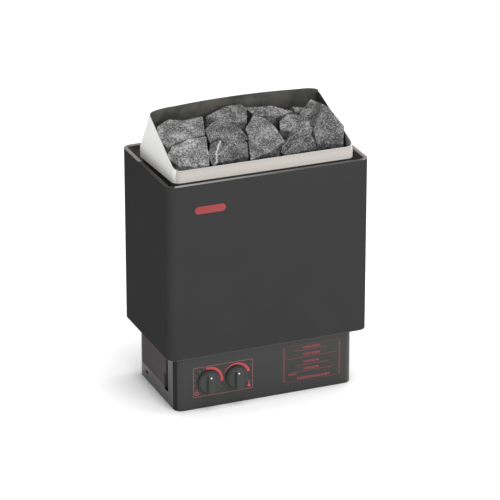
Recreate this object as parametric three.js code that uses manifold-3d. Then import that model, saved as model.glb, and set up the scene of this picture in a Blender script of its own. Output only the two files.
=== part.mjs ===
// Wall-hung electric sauna heater with its own timer and thermostat.
// Millimetres. X to the right seen from the front, the front faces -Y, Z up.
// The origin is the middle of the underside of the base.
import * as THREE from "three";
import { ConvexGeometry } from "three/addons/geometries/ConvexGeometry.js";
import { mergeVertices } from "three/addons/utils/BufferGeometryUtils.js";
import Module from "manifold-3d";

const wasm = await Module();
wasm.setup();

// Clearances
const FIT = 0.3; // between pieces that touch
const RUNNING = 0.8; // between a turning knob and the panel behind it
const STONE_GAP = 0.6; // between neighbouring stones
const THROUGH = 5; // how far a cut runs past the face that it opens

// Outer casing
const CASING_WIDTH = 410;
const CASING_DEPTH = 246;
const CASING_HEIGHT = 351;
const CASING_RADIUS = 16;
const CASING_SHEET = 1.5;
const HEM_HEIGHT = 8;
const HEM_FOLD = 1.5;
const RIM_WIDTH = 7.5; // the upper edge is turned inward
const RIM_FOLD = 3;

// Base housing
const BASE_VISIBLE = 118; // from the floor to the lower edge of the casing
const BASE_LAP = 32; // how far the base reaches up inside the casing
const BASE_INSET_X = 22;
const BASE_INSET_Y = 23;
const BASE_RADIUS = 14;
const BASE_SHEET = 1.5;
const COVER_SHEET = 2;
const DECK_SHEET = 1.5;

// Slots in the left side of the base
const TALL_SLOT_WIDTH = 11;
const TALL_SLOT_FOOT = 24;
const TALL_SLOT_BACK = 41.5; // from the front of the base to the front edge of the slot
const SLOT_FOOT_WIDTH = 21;
const SLOT_FOOT_TOP = 57;
const SLOT_RADIUS = 5;
const SMALL_SLOT_WIDTH = 15;
const SMALL_SLOT_HEIGHT = 4;
const SMALL_SLOT_LEVEL = 17.5;
const SMALL_SLOT_BACK = 158;

// Screws of the bottom cover
const SCREW_RADIUS = 2;
const SCREW_HEAD_RADIUS = 4;
const SCREW_LENGTH = 12;
const SCREW_EDGE = 18; // from the sides of the base to the screw
const TAB_SIZE = 26;
const TAB_SHEET = 1.5;

// Steam collar and hood
const COLLAR_GAP = 22; // air gap in front and at the sides
const BACK_GAP = 41; // air gap behind
const COLLAR_TUCK = 10; // how far the collar starts below the rim of the casing
const COLLAR_STRIP = 32; // from the lower edge at the back to the top of the front strip
const COLLAR_FOOT_RISE = 6.5; // the lower edge rises towards the front
const COLLAR_RADIUS = 14;
const COLLAR_REAR_RADIUS = 4;
const COLLAR_SHEET = 1.2;
const HOOD_BEND = -11.25; // from the top of the strip to the bend of the side plates and the back panel
const HOOD_RISE = 77.2; // from the top of the strip to the top of the hood
const BACK_LEAN_DEG = 22.3;
const SIDE_LEAN_DEG = 7.24;
const MOUTH_DEG = 21.82; // slope of the upper edges of the side plates
const ARCH_DROP = 5; // how much the top edge falls towards the corners
const HOOD_CORNER_WIDTH = 46;
const HOOD_CORNER_INSET = 10; // how far in the round of a corner leans from the start

// Stone chamber
const CHAMBER_LAP = 20; // how far the chamber reaches up inside the collar
const CHAMBER_SHEET = 1.5;
const WINDOW_FOOT = 6;
const WINDOW_HEIGHT = 22;
const WINDOW_POST = 40; // wall left standing beside the air windows
const LIP_LEVEL = 35; // above the deck
const LIP_WIDTH = 10;
const LIP_SHEET = 1.5;
const GRATE_THICKNESS = 4;
const GRATE_SIDE_GAP = 1;
const GRATE_RIM = 11;
const GRATE_BAR = 7;
const GRATE_BARS = 9;

// Heat shield over the deck
const SHIELD_LEVEL = 18;
const SHIELD_SHEET = 1.2;
const SHIELD_MARGIN = 14;
const SHIELD_HOLE = 8;

// Heating elements
const ELEMENT_RADIUS = 4;
const ELEMENT_SIDE_GAP = 45;
const ELEMENT_WALL_GAP = 18;
const ELEMENT_COVER = 30; // stones above the upper bends
const ELEMENT_LIFT = 22; // lower bends above the grate
const PIN_LENGTH = 28; // below the deck
const NUT_FLATS = 17;
const NUT_HEIGHT = 7;
const REST_WIDTH = 12;
const REST_MARGIN = 10;
const LINK_WIDTH = 16;
const LINK_SHEET = 2;
const LINK_DROP = 18;
const LINK_MARGIN = 12;

// Stones
const BED_DEPTH = 36; // level of the lower stones below the top of the strip
const STONE_WALL_GAP = 2;
const ROW_ELEMENT_GAP = 3;
const ROW_END_GAP = 5;
const ROW_COLUMNS = 5;
const ROW_LAYERS = 4;
const ROW_SWELL = 1.3;

// Controls
const CONTROL_SIDE = 96; // from the left side of the base to the middle of the two knobs
const CONTROL_SPACING = 57;
const CONTROL_HEIGHT = 54;
const SHAFT_RADIUS = 3;
const SHAFT_HOLE = 4;
const KNOB_RADIUS = 22;
const KNOB_SKIRT = 4;
const KNOB_TOP_RADIUS = 19;
const KNOB_BODY = 8;
const KNOB_EDGE = 1;
const GRIP_WIDTH = 20;
const GRIP_FRONT_WIDTH = 14.4;
const GRIP_TAPER = 1; // at either end
const GRIP_HEIGHT = 7;
const KNOB_BORE = 9;
const SHAFT_SOCKET = 12;
const CONTROL_BODY_WIDTH = 44;
const CONTROL_BODY_DEPTH = 40;

// Overheat limiter with its reset button
const LIMITER_SIDE = 103; // from the right side of the base
const LIMITER_BACK = 45; // from the front of the base
const LIMITER_SIZE = 36;
const LIMITER_HEIGHT = 30;
const BUTTON_RADIUS = 3.5;
const BUTTON_RECESS = 0.8;
const BUTTON_LENGTH = 9;
const BUTTON_TRAVEL = 2.5;

// Sensors on the front of the stone chamber
const CAPILLARY_RADIUS = 1.25;
const CAPILLARY_SIDE = 11; // from the middle of the body to the capillary
const CAPILLARY_WALL_GAP = 7;
const CAPILLARY_HOLE = 4;
const BULB_RADIUS = 3.5;
const BULB_LENGTH = 60;
const BULB_LEVEL = 80; // above the deck
const CLIP_WIDTH = 18;
const CLIP_HEIGHT = 14;
const CLIP_WALL = 2;

// Supply side
const TERMINAL_SIDE = 78; // from the right side of the base
const TERMINAL_BACK = 150;
const TERMINAL_LENGTH = 90;
const TERMINAL_WIDTH = 28;
const TERMINAL_HEIGHT = 24;
const TERMINAL_POLES = 5;
const TERMINAL_POLE_RADIUS = 4;
const TERMINAL_POLE_DEPTH = 10;
const EARTH_SIDE = 153; // from the right side of the base
const EARTH_BACK = 150;
const EARTH_RADIUS = 2.5;
const EARTH_NUT_RADIUS = 5;
const EARTH_LENGTH = 16;
const GLAND_SIDE = 73; // from the right side of the base
const GLAND_LEVEL = 70;
const GLAND_NECK = 10;
const GLAND_COLLAR = 14;
const GLAND_BORE = 5;
const GLAND_OUT = 15;
const GLAND_IN = 12;
const GLAND_FLANGE = 6;
const GLAND_NUT = 5;
const LEAD_RADIUS = 1.5;
const LEAD_LEVEL = 14;
const LEAD_BEND = 16;

// Brackets
const BRACKET_LEVEL = 50; // above the deck
const BRACKET_HEIGHT = 30;
const BRACKET_LENGTH = 60;
const BRACKET_SHEET = 1.5;
const WALL_GAP = 28;
const RACK_WIDTH = 242;
const RACK_HEIGHT = 200;
const RACK_SHEET = 2;
const RACK_TOP = 42; // from the rim of the casing down to the top of the rack
const HOOK_DROP = 18; // from the top of the rack down to the hook
const HOOK_HEIGHT = 12;
const HOOK_REACH = 6;
const HOOK_TIP = 7;
const HOOK_PLAY = 8;
const RACK_HOLE = 3.5;
const RACK_HOLE_EDGE = 25;

// Places worked out from the sizes above
const casing = {
  half: CASING_WIDTH / 2,
  front: -CASING_DEPTH / 2,
  back: CASING_DEPTH / 2,
  bottom: BASE_VISIBLE,
  top: BASE_VISIBLE + CASING_HEIGHT,
};
const base = {
  half: casing.half - BASE_INSET_X,
  front: casing.front + BASE_INSET_Y,
  back: casing.back - BASE_INSET_Y,
  top: BASE_VISIBLE + BASE_LAP,
};
base.depth = base.back - base.front;
base.floor = COVER_SHEET + FIT;
const deck = { bottom: base.top + FIT, top: base.top + FIT + DECK_SHEET };
const collar = {
  half: casing.half - COLLAR_GAP,
  front: casing.front + COLLAR_GAP,
  back: casing.back - BACK_GAP,
  bottom: casing.top - COLLAR_TUCK,
};
collar.top = collar.bottom + COLLAR_STRIP;
collar.bend = collar.top + HOOD_BEND;
collar.peak = collar.top + HOOD_RISE;
const lean = {
  back: Math.tan(THREE.MathUtils.degToRad(BACK_LEAN_DEG)),
  side: Math.tan(THREE.MathUtils.degToRad(SIDE_LEAN_DEG)),
  mouth: Math.tan(THREE.MathUtils.degToRad(MOUTH_DEG)),
};
const mouth = {
  front: collar.front + COLLAR_SHEET,
  back: collar.back - COLLAR_SHEET / Math.cos(THREE.MathUtils.degToRad(BACK_LEAN_DEG)),
};
mouth.rise = (mouth.back + lean.back * HOOD_BEND - mouth.front) * lean.mouth / (1 + lean.mouth * lean.back);
mouth.apex = collar.top + mouth.rise;
const collarFit = COLLAR_SHEET + FIT;
const chamber = {
  half: collar.half - collarFit,
  front: collar.front + collarFit,
  back: collar.back - collarFit,
  bottom: deck.top + FIT,
  top: collar.bottom + CHAMBER_LAP,
  radius: COLLAR_RADIUS - collarFit,
  lip: deck.top + LIP_LEVEL,
};
chamber.middle = (chamber.front + chamber.back) / 2;
chamber.innerHalf = chamber.half - CHAMBER_SHEET;
chamber.innerFront = chamber.front + CHAMBER_SHEET;
chamber.innerBack = chamber.back - CHAMBER_SHEET;
chamber.innerRadius = chamber.radius - CHAMBER_SHEET;
const grate = { bottom: chamber.lip + LIP_SHEET + FIT };
grate.top = grate.bottom + GRATE_THICKNESS;
const bedLevel = collar.top - BED_DEPTH;
const element = {
  pitch: (chamber.innerHalf - ELEMENT_SIDE_GAP) * 2 / 3,
  rows: [chamber.innerFront + ELEMENT_WALL_GAP, chamber.middle, chamber.innerBack - ELEMENT_WALL_GAP],
  top: bedLevel - ELEMENT_COVER,
  bottom: grate.top + ELEMENT_LIFT,
  pin: deck.bottom - PIN_LENGTH,
};
element.legs = [-1.5, -0.5, 0.5, 1.5].map((step) => step * element.pitch);
const capillaryY = chamber.innerFront + CAPILLARY_WALL_GAP;
const bulbY = chamber.front - FIT - BULB_RADIUS;
const controlMiddle = CONTROL_SIDE - base.half;
const timerX = controlMiddle - CONTROL_SPACING / 2;
const thermostatX = controlMiddle + CONTROL_SPACING / 2;
const limiterX = base.half - LIMITER_SIDE;
const terminalX = base.half - TERMINAL_SIDE;
const earthX = base.half - EARTH_SIDE;
const glandX = base.half - GLAND_SIDE;
const thermostatCapillaryX = thermostatX - CAPILLARY_SIDE;
const limiterCapillaryX = limiterX + CAPILLARY_SIDE;
const limiterY = base.front + LIMITER_BACK;
const controlBodyRear = base.front + BASE_SHEET + FIT + CONTROL_BODY_DEPTH;
const screwPlaces = [[-1, -1], [1, -1], [-1, 1], [1, 1]].map(([side, end]) => [
  side * (base.half - SCREW_EDGE),
  end * (base.back - SCREW_EDGE),
]);
const rack = {
  half: RACK_WIDTH / 2,
  top: casing.top - RACK_TOP,
  front: casing.back + FIT,
  back: casing.back + WALL_GAP + RACK_SHEET,
};
rack.bottom = rack.top - RACK_HEIGHT;
rack.hookTop = rack.top - HOOK_DROP;

// Finishes
const FINISHES = {
  paint: { color: 0x424242, roughness: 0.4, metalness: 0.2 },
  stainless: { color: 0xd0ccc8, roughness: 0.3, metalness: 1 },
  darkSteel: { color: 0x4a4a4c, roughness: 0.55, metalness: 0.9 },
  zinc: { color: 0xa9adb0, roughness: 0.45, metalness: 0.9 },
  element: { color: 0x5b5a58, roughness: 0.5, metalness: 0.8 },
  brass: { color: 0xb59a55, roughness: 0.4, metalness: 1 },
  copper: { color: 0xb87350, roughness: 0.4, metalness: 1 },
  knob: { color: 0x1d1d1f, roughness: 0.45, metalness: 0 },
  phenolic: { color: 0x2a2522, roughness: 0.6, metalness: 0 },
  ceramic: { color: 0xe6e2d8, roughness: 0.5, metalness: 0 },
  nylon: { color: 0x222222, roughness: 0.5, metalness: 0 },
  silicone: { color: 0x7a2c22, roughness: 0.6, metalness: 0 },
  red: { color: 0xb3312b, roughness: 0.4, metalness: 0 },
  stone: { color: 0x6c6c6c, roughness: 0.9, metalness: 0 },
};

const heater = new THREE.Group();

/** Adds one named piece to a group, with a material of its own. */
function piece(name, shape, finish, group = heater) {
  const mesh = new THREE.Mesh(geometryOf(shape), new THREE.MeshStandardMaterial(FINISHES[finish]));
  mesh.name = name;
  group.add(mesh);
  return mesh;
}

/** Six times the volume that a triangle mesh encloses, negative when it is inside out. */
function signedVolume(points, corners) {
  const [a, b, c] = [new THREE.Vector3(), new THREE.Vector3(), new THREE.Vector3()];
  let sum = 0;
  for (let i = 0; i < corners.length; i += 3) {
    a.fromArray(points, corners[i] * 3);
    b.fromArray(points, corners[i + 1] * 3);
    c.fromArray(points, corners[i + 2] * 3);
    sum += a.dot(b.cross(c));
  }
  return sum;
}

/** A closed geometry as a solid that can be joined and cut. */
function solid(geometry) {
  const bare = geometry.clone();
  bare.deleteAttribute("normal");
  bare.deleteAttribute("uv");
  const welded = mergeVertices(bare);
  const vertProperties = Float32Array.from(welded.attributes.position.array);
  const corners = [];
  for (let i = 0; i < welded.index.count; i += 3) {
    const [a, b, c] = [0, 1, 2].map((k) => welded.index.getX(i + k));
    if (a !== b && b !== c && c !== a) corners.push(a, b, c);
  }
  if (signedVolume(vertProperties, corners) < 0) corners.reverse();
  const triVerts = Uint32Array.from(corners);
  return new wasm.Manifold(new wasm.Mesh({ numProp: 3, vertProperties, triVerts }));
}

/** The triangles of a solid as a flat-shaded geometry. */
function geometryOf(body) {
  const { vertProperties, triVerts } = body.getMesh();
  const geometry = new THREE.BufferGeometry();
  geometry.setAttribute("position", new THREE.BufferAttribute(vertProperties, 3));
  geometry.setIndex(new THREE.BufferAttribute(triVerts, 1));
  const flat = geometry.toNonIndexed();
  flat.computeVertexNormals();
  return flat;
}

/** A plain block between two corners. */
function block([x0, x1], [y0, y1], [z0, z1]) {
  const geometry = new THREE.BoxGeometry(x1 - x0, y1 - y0, z1 - z0);
  return solid(geometry.translate((x0 + x1) / 2, (y0 + y1) / 2, (z0 + z1) / 2));
}

/** A rectangle with round corners, as an outline; those at the back can have a radius of their own. */
function roundedOutline([x0, x1], [y0, y1], radius, rear = radius) {
  const shape = new THREE.Shape();
  shape.absarc(x1 - rear, y1 - rear, rear, 0, Math.PI / 2);
  shape.absarc(x0 + rear, y1 - rear, rear, Math.PI / 2, Math.PI);
  shape.absarc(x0 + radius, y0 + radius, radius, Math.PI, Math.PI * 1.5);
  shape.absarc(x1 - radius, y0 + radius, radius, Math.PI * 1.5, Math.PI * 2);
  return shape;
}

/** An outline raised from one level to another. */
function raised(shape, [z0, z1]) {
  const options = { depth: z1 - z0, bevelEnabled: false, curveSegments: 3 };
  return solid(new THREE.ExtrudeGeometry(shape, options).translate(0, 0, z0));
}

/** A round-cornered prism. */
function slab(xs, ys, zs, radius) {
  return raised(roundedOutline(xs, ys, radius), zs);
}

/** An outline in Y and Z, drawn out along X. */
function alongX(shape, [x0, x1]) {
  const geometry = new THREE.ExtrudeGeometry(shape, { depth: x1 - x0, bevelEnabled: false, curveSegments: 4 });
  const turn = new THREE.Matrix4().makeBasis(
    new THREE.Vector3(0, 1, 0),
    new THREE.Vector3(0, 0, 1),
    new THREE.Vector3(1, 0, 0),
  );
  return solid(geometry.applyMatrix4(turn).translate(x0, 0, 0));
}

/** An outline in X and Z, drawn out along Y. */
function alongY(shape, [y0, y1]) {
  const geometry = new THREE.ExtrudeGeometry(shape, { depth: y1 - y0, bevelEnabled: false, curveSegments: 6 });
  const turn = new THREE.Matrix4().makeBasis(
    new THREE.Vector3(1, 0, 0),
    new THREE.Vector3(0, 0, 1),
    new THREE.Vector3(0, -1, 0),
  );
  return solid(geometry.applyMatrix4(turn).translate(0, y1, 0));
}

/** An upright cylinder. */
function drum(x, y, [z0, z1], radius, sides = 16) {
  const geometry = new THREE.CylinderGeometry(radius, radius, z1 - z0, sides).rotateX(Math.PI / 2);
  return solid(geometry.translate(x, y, (z0 + z1) / 2));
}

/** A cylinder that lies along Y. */
function spindle(x, z, [y0, y1], radius, sides = 16) {
  const geometry = new THREE.CylinderGeometry(radius, radius, y1 - y0, sides);
  return solid(geometry.translate(x, (y0 + y1) / 2, z));
}

/** A turned piece about the Y axis, from pairs of radius and place along the axis. */
function turned(profile, sides = 24) {
  return solid(new THREE.LatheGeometry(profile.map(([r, y]) => new THREE.Vector2(r, y)), sides));
}

/** A turned piece about the Z axis. */
function turnedUpright(profile, sides = 16) {
  const points = profile.map(([r, z]) => new THREE.Vector2(r, z));
  return solid(new THREE.LatheGeometry(points, sides).rotateX(Math.PI / 2));
}

/** The centre line of a bent rod, with one ring of the rod at each station. */
class BentRod extends THREE.Curve {
  constructor(stations) {
    super();
    this.stations = stations.map((place) => new THREE.Vector3(...place));
  }

  getPointAt(share, target = new THREE.Vector3()) {
    const place = share * (this.stations.length - 1);
    const index = Math.min(Math.floor(place), this.stations.length - 2);
    return target.lerpVectors(this.stations[index], this.stations[index + 1], place - index);
  }

  getTangentAt(share, target = new THREE.Vector3()) {
    const last = this.stations.length - 1;
    const index = Math.round(share * last);
    target.set(0, 0, 0);
    for (const start of [index - 1, index]) {
      if (start < 0 || start >= last) continue;
      target.add(this.stations[start + 1].clone().sub(this.stations[start]).normalize());
    }
    return target.normalize();
  }
}

/** A round rod along its stations. */
function bentRod(stations, radius, sides) {
  const corners = Array.from({ length: sides }, (_, i) => {
    const angle = (i / sides) * Math.PI * 2;
    return new THREE.Vector2(radius * Math.cos(angle), radius * Math.sin(angle));
  });
  const options = { steps: stations.length - 1, extrudePath: new BentRod(stations), bevelEnabled: false };
  return solid(new THREE.ExtrudeGeometry(new THREE.Shape(corners), options));
}

/** Stations of a half turn in an upright plane, from left to right, over or under its middle. */
function halfTurn(x, y, z, radius, over, steps = 8) {
  return Array.from({ length: steps + 1 }, (_, i) => {
    const angle = Math.PI * (1 - i / steps);
    return [x + radius * Math.cos(angle), y, z + (over ? 1 : -1) * radius * Math.sin(angle)];
  });
}

/** Stations along straight runs, with each inner corner rounded by a quarter bend. */
function roundedRoute(corners, radius) {
  const points = corners.map((place) => new THREE.Vector3(...place));
  const stations = [points[0]];
  for (let i = 1; i < points.length - 1; i += 1) {
    const before = points[i - 1].clone().sub(points[i]);
    const after = points[i + 1].clone().sub(points[i]);
    const reach = Math.min(radius, before.length() * 0.45, after.length() * 0.45);
    const start = points[i].clone().addScaledVector(before.normalize(), reach);
    const end = points[i].clone().addScaledVector(after.normalize(), reach);
    stations.push(...new THREE.QuadraticBezierCurve3(start, points[i], end).getPoints(3));
  }
  stations.push(points[points.length - 1]);
  return stations.map((place) => place.toArray());
}

/** A repeatable run of numbers between 0 and 1. */
function numberRun(seed) {
  let state = seed;
  return () => {
    state = (state * 16807) % 2147483647;
    return state / 2147483647;
  };
}

// Outer casing: a round-cornered tube with its edges folded in, and two slots for the wall rack
function outerCasing() {
  const inside = (offset, zs) => slab(
    [-casing.half + offset, casing.half - offset],
    [casing.front + offset, casing.back - offset],
    zs,
    CASING_RADIUS - offset,
  );
  let body = inside(0, [casing.bottom, casing.top]);
  body = body.subtract(inside(CASING_SHEET, [casing.bottom + HEM_HEIGHT, casing.top - RIM_FOLD]));
  body = body.subtract(inside(CASING_SHEET + HEM_FOLD, [casing.bottom - THROUGH, casing.bottom + HEM_HEIGHT + THROUGH]));
  body = body.subtract(inside(RIM_WIDTH, [casing.top - RIM_FOLD - THROUGH, casing.top + THROUGH]));
  for (const side of [-1, 1]) {
    const middle = side * (rack.half - RACK_SHEET / 2);
    const slot = block(
      [middle - RACK_SHEET, middle + RACK_SHEET],
      [casing.back - CASING_SHEET - THROUGH, casing.back + THROUGH],
      [rack.hookTop - HOOK_HEIGHT - HOOK_PLAY, rack.hookTop + FIT],
    );
    body = body.subtract(slot);
  }
  return body;
}

// Base housing: a round-cornered tube with corner tabs for the screws of the bottom cover
function baseHousing() {
  const outer = slab([-base.half, base.half], [base.front, base.back], [0, base.top], BASE_RADIUS);
  const inner = slab(
    [-base.half + BASE_SHEET, base.half - BASE_SHEET],
    [base.front + BASE_SHEET, base.back - BASE_SHEET],
    [-THROUGH, base.top + THROUGH],
    BASE_RADIUS - BASE_SHEET,
  );
  let body = outer.subtract(inner);
  const tabZs = [base.floor, base.floor + TAB_SHEET];
  for (const [x, y] of screwPlaces) {
    const tab = block(
      [Math.min(x, Math.sign(x) * base.half) - TAB_SIZE / 2, Math.max(x, Math.sign(x) * base.half) + TAB_SIZE / 2],
      [Math.min(y, Math.sign(y) * base.back) - TAB_SIZE / 2, Math.max(y, Math.sign(y) * base.back) + TAB_SIZE / 2],
      tabZs,
    );
    body = body.add(tab.intersect(outer));
    body = body.subtract(drum(x, y, [0, base.floor + THROUGH], SCREW_RADIUS + FIT));
  }
  for (const x of [timerX, thermostatX]) {
    const panel = [base.front - THROUGH, base.front + BASE_SHEET + THROUGH];
    body = body.subtract(spindle(x, CONTROL_HEIGHT, panel, SHAFT_HOLE));
  }
  const rear = [base.back - BASE_SHEET - THROUGH, base.back + THROUGH];
  body = body.subtract(spindle(glandX, GLAND_LEVEL, rear, GLAND_NECK + FIT));
  return body.subtract(tallSlot()).subtract(smallSlot());
}

// The tall slot has a wide round foot and runs up behind the casing
function tallSlot() {
  const front = base.front + TALL_SLOT_BACK;
  const wide = front + SLOT_FOOT_WIDTH;
  const narrow = front + TALL_SLOT_WIDTH;
  const shape = new THREE.Shape();
  shape.absarc(front + SLOT_RADIUS, TALL_SLOT_FOOT + SLOT_RADIUS, SLOT_RADIUS, Math.PI, Math.PI * 1.5);
  shape.absarc(wide - SLOT_RADIUS, TALL_SLOT_FOOT + SLOT_RADIUS, SLOT_RADIUS, Math.PI * 1.5, Math.PI * 2);
  shape.lineTo(wide, SLOT_FOOT_TOP);
  shape.lineTo(narrow, SLOT_FOOT_TOP);
  shape.lineTo(narrow, BASE_VISIBLE + HEM_HEIGHT);
  shape.lineTo(front, BASE_VISIBLE + HEM_HEIGHT);
  return alongX(shape, [-base.half - THROUGH, -base.half + BASE_SHEET + THROUGH]);
}

function smallSlot() {
  const middle = base.front + SMALL_SLOT_BACK;
  return block(
    [-base.half - THROUGH, -base.half + BASE_SHEET + THROUGH],
    [middle - SMALL_SLOT_WIDTH / 2, middle + SMALL_SLOT_WIDTH / 2],
    [SMALL_SLOT_LEVEL - SMALL_SLOT_HEIGHT / 2, SMALL_SLOT_LEVEL + SMALL_SLOT_HEIGHT / 2],
  );
}

// Bottom cover: lies inside the housing, flush with its lower edge
function bottomCover() {
  const edge = BASE_SHEET + FIT;
  let body = slab(
    [-base.half + edge, base.half - edge],
    [base.front + edge, base.back - edge],
    [0, COVER_SHEET],
    BASE_RADIUS - edge,
  );
  for (const [x, y] of screwPlaces) {
    const sink = new THREE.CylinderGeometry(SCREW_RADIUS + FIT, SCREW_HEAD_RADIUS + FIT, COVER_SHEET, 16);
    body = body.subtract(solid(sink.rotateX(Math.PI / 2).translate(x, y, COVER_SHEET / 2)));
  }
  return body.subtract(drum(limiterX, limiterY, [-THROUGH, COVER_SHEET + THROUGH], BUTTON_RADIUS + FIT));
}

// Countersunk screw, drawn about its own axis with the floor at zero
function coverScrew() {
  return turnedUpright([
    [0, FIT],
    [SCREW_HEAD_RADIUS - FIT, FIT],
    [SCREW_RADIUS, COVER_SHEET],
    [SCREW_RADIUS, SCREW_LENGTH],
    [0, SCREW_LENGTH],
  ]);
}

// Top deck of the base, with holes for the element pins and the two capillaries
function topDeck() {
  let body = slab([-base.half, base.half], [base.front, base.back], [deck.bottom, deck.top], BASE_RADIUS);
  const zs = [deck.bottom - THROUGH, deck.top + THROUGH];
  for (const y of element.rows) {
    for (const x of [element.legs[0], element.legs[3]]) body = body.subtract(drum(x, y, zs, ELEMENT_RADIUS + FIT));
  }
  for (const x of [thermostatCapillaryX, limiterCapillaryX]) {
    body = body.subtract(drum(x, capillaryY, zs, CAPILLARY_HOLE));
  }
  return body;
}

// Heat shield: a low bridge over the deck with wide holes for the element pins
function heatShield() {
  const half = chamber.innerHalf - SHIELD_MARGIN;
  const ys = [capillaryY + CAPILLARY_HOLE, chamber.innerBack - SHIELD_MARGIN];
  const zs = [deck.top + FIT, deck.top + SHIELD_LEVEL];
  let body = block([-half, half], ys, zs);
  body = body.subtract(block(
    [-half + SHIELD_SHEET, half - SHIELD_SHEET],
    [ys[0] - THROUGH, ys[1] + THROUGH],
    [zs[0] - THROUGH, zs[1] - SHIELD_SHEET],
  ));
  for (const y of element.rows) {
    for (const x of [element.legs[0], element.legs[3]]) {
      body = body.subtract(drum(x, y, [zs[0], zs[1] + THROUGH], SHIELD_HOLE));
    }
  }
  return body;
}

// Stone chamber: a tube on the deck with air windows at its foot and a lip for the grate
function stoneChamber() {
  const outer = slab(
    [-chamber.half, chamber.half], [chamber.front, chamber.back], [chamber.bottom, chamber.top], chamber.radius,
  );
  const inner = (offset, zs) => slab(
    [-chamber.innerHalf + offset, chamber.innerHalf - offset],
    [chamber.innerFront + offset, chamber.innerBack - offset],
    zs,
    chamber.innerRadius - Math.min(offset, chamber.innerRadius / 2),
  );
  let body = outer.subtract(inner(0, [chamber.bottom - THROUGH, chamber.top + THROUGH]));
  const lipZs = [chamber.lip, chamber.lip + LIP_SHEET];
  const lipRing = inner(-CHAMBER_SHEET / 2, lipZs);
  const lipHole = inner(LIP_WIDTH, [lipZs[0] - THROUGH, lipZs[1] + THROUGH]);
  body = body.add(lipRing.subtract(lipHole));
  const windowZs = [chamber.bottom + WINDOW_FOOT, chamber.bottom + WINDOW_FOOT + WINDOW_HEIGHT];
  body = body.subtract(block(
    [-chamber.half + WINDOW_POST, chamber.half - WINDOW_POST],
    [chamber.front - THROUGH, chamber.back + THROUGH],
    windowZs,
  ));
  return body.subtract(block(
    [-chamber.half - THROUGH, chamber.half + THROUGH],
    [chamber.front + WINDOW_POST, chamber.back - WINDOW_POST],
    windowZs,
  ));
}

// Points of the hood at one level: a round-cornered section that leans in above the bend
function hoodSection(level, inset) {
  const rise = Math.max(0, level - collar.bend);
  const half = collar.half - inset - rise * lean.side;
  const back = collar.back - inset - rise * lean.back;
  const rear = Math.max(COLLAR_REAR_RADIUS - inset, FIT);
  const outline = roundedOutline([-half, half], [collar.front + inset, back], COLLAR_RADIUS - inset, rear);
  return outline.getPoints(3).map(({ x, y }) => new THREE.Vector3(x, y, level));
}

/** The full form of the hood between two levels, moved inwards by an inset. */
function hoodForm(bottom, top, inset) {
  const levels = [bottom, collar.bend, top];
  return solid(new ConvexGeometry(levels.flatMap((level) => hoodSection(level, inset))));
}

// What is cut away below the lower edge of the collar
function collarFoot() {
  const slope = COLLAR_FOOT_RISE / (collar.back - collar.front);
  const foot = new THREE.Shape();
  foot.moveTo(collar.back + THROUGH, collar.bottom - 2 * THROUGH);
  foot.lineTo(collar.back + THROUGH, collar.bottom - slope * THROUGH);
  foot.lineTo(collar.front - THROUGH, collar.bottom + COLLAR_FOOT_RISE + slope * THROUGH);
  foot.lineTo(collar.front - THROUGH, collar.bottom - 2 * THROUGH);
  return foot;
}

// Steam collar: strip in front, side plates with slanted edges, back panel leaning forward
function steamCollar() {
  let body = hoodForm(collar.bottom, collar.peak + THROUGH, 0);
  body = body.subtract(hoodForm(collar.bottom - THROUGH, collar.peak + 2 * THROUGH, COLLAR_SHEET));
  body = body.subtract(alongX(collarFoot(), [-collar.half - THROUGH, collar.half + THROUGH]));
  return body.subtract(mouthCut()).subtract(archCut());
}

// What is open above the strip and the slanted edges, up to the inner face of the back panel
function mouthCut() {
  const roof = collar.peak + 2 * THROUGH;
  const shape = new THREE.Shape();
  shape.moveTo(collar.front - THROUGH, collar.top);
  shape.lineTo(mouth.front, collar.top);
  shape.lineTo(mouth.front + mouth.rise / lean.mouth, mouth.apex);
  shape.lineTo(mouth.back - lean.back * (roof - collar.bend), roof);
  shape.lineTo(collar.front - THROUGH, roof);
  return alongX(shape, [-collar.half - THROUGH, collar.half + THROUGH]);
}

// What the arched top edge and the round upper corners leave open
function archCut() {
  const half = collar.half - lean.side * (mouth.apex - collar.bend);
  const shoulder = collar.peak - ARCH_DROP;
  const wide = collar.half + THROUGH;
  const roof = collar.peak + 2 * THROUGH;
  const shape = new THREE.Shape();
  shape.moveTo(-wide, mouth.apex);
  shape.lineTo(-half, mouth.apex);
  shape.quadraticCurveTo(HOOD_CORNER_INSET - half, shoulder, HOOD_CORNER_WIDTH - half, shoulder);
  shape.quadraticCurveTo(0, collar.peak + ARCH_DROP, half - HOOD_CORNER_WIDTH, shoulder);
  shape.quadraticCurveTo(half - HOOD_CORNER_INSET, shoulder, half, mouth.apex);
  shape.lineTo(wide, mouth.apex);
  shape.lineTo(wide, roof);
  shape.lineTo(-wide, roof);
  return alongY(shape, [collar.front - THROUGH, collar.back + THROUGH]);
}

// Grate: a flat frame with bars from front to back
function stoneGrate() {
  const half = chamber.innerHalf - GRATE_SIDE_GAP;
  const ys = [chamber.innerFront + GRATE_SIDE_GAP, chamber.innerBack - GRATE_SIDE_GAP];
  const zs = [grate.bottom, grate.top];
  let body = slab([-half, half], ys, zs, chamber.innerRadius - GRATE_SIDE_GAP);
  const clear = (2 * (half - GRATE_RIM) - GRATE_BARS * GRATE_BAR) / (GRATE_BARS + 1);
  for (let i = 0; i <= GRATE_BARS; i += 1) {
    const left = -half + GRATE_RIM + i * (clear + GRATE_BAR);
    body = body.subtract(block(
      [left, left + clear],
      [ys[0] + GRATE_RIM, ys[1] - GRATE_RIM],
      [zs[0] - THROUGH, zs[1] + THROUGH],
    ));
  }
  for (const y of element.rows) {
    for (const x of [element.legs[0], element.legs[3]]) {
      body = body.subtract(drum(x, y, [zs[0] - THROUGH, zs[1] + THROUGH], ELEMENT_RADIUS + GRATE_SIDE_GAP));
    }
  }
  return body;
}

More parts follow.
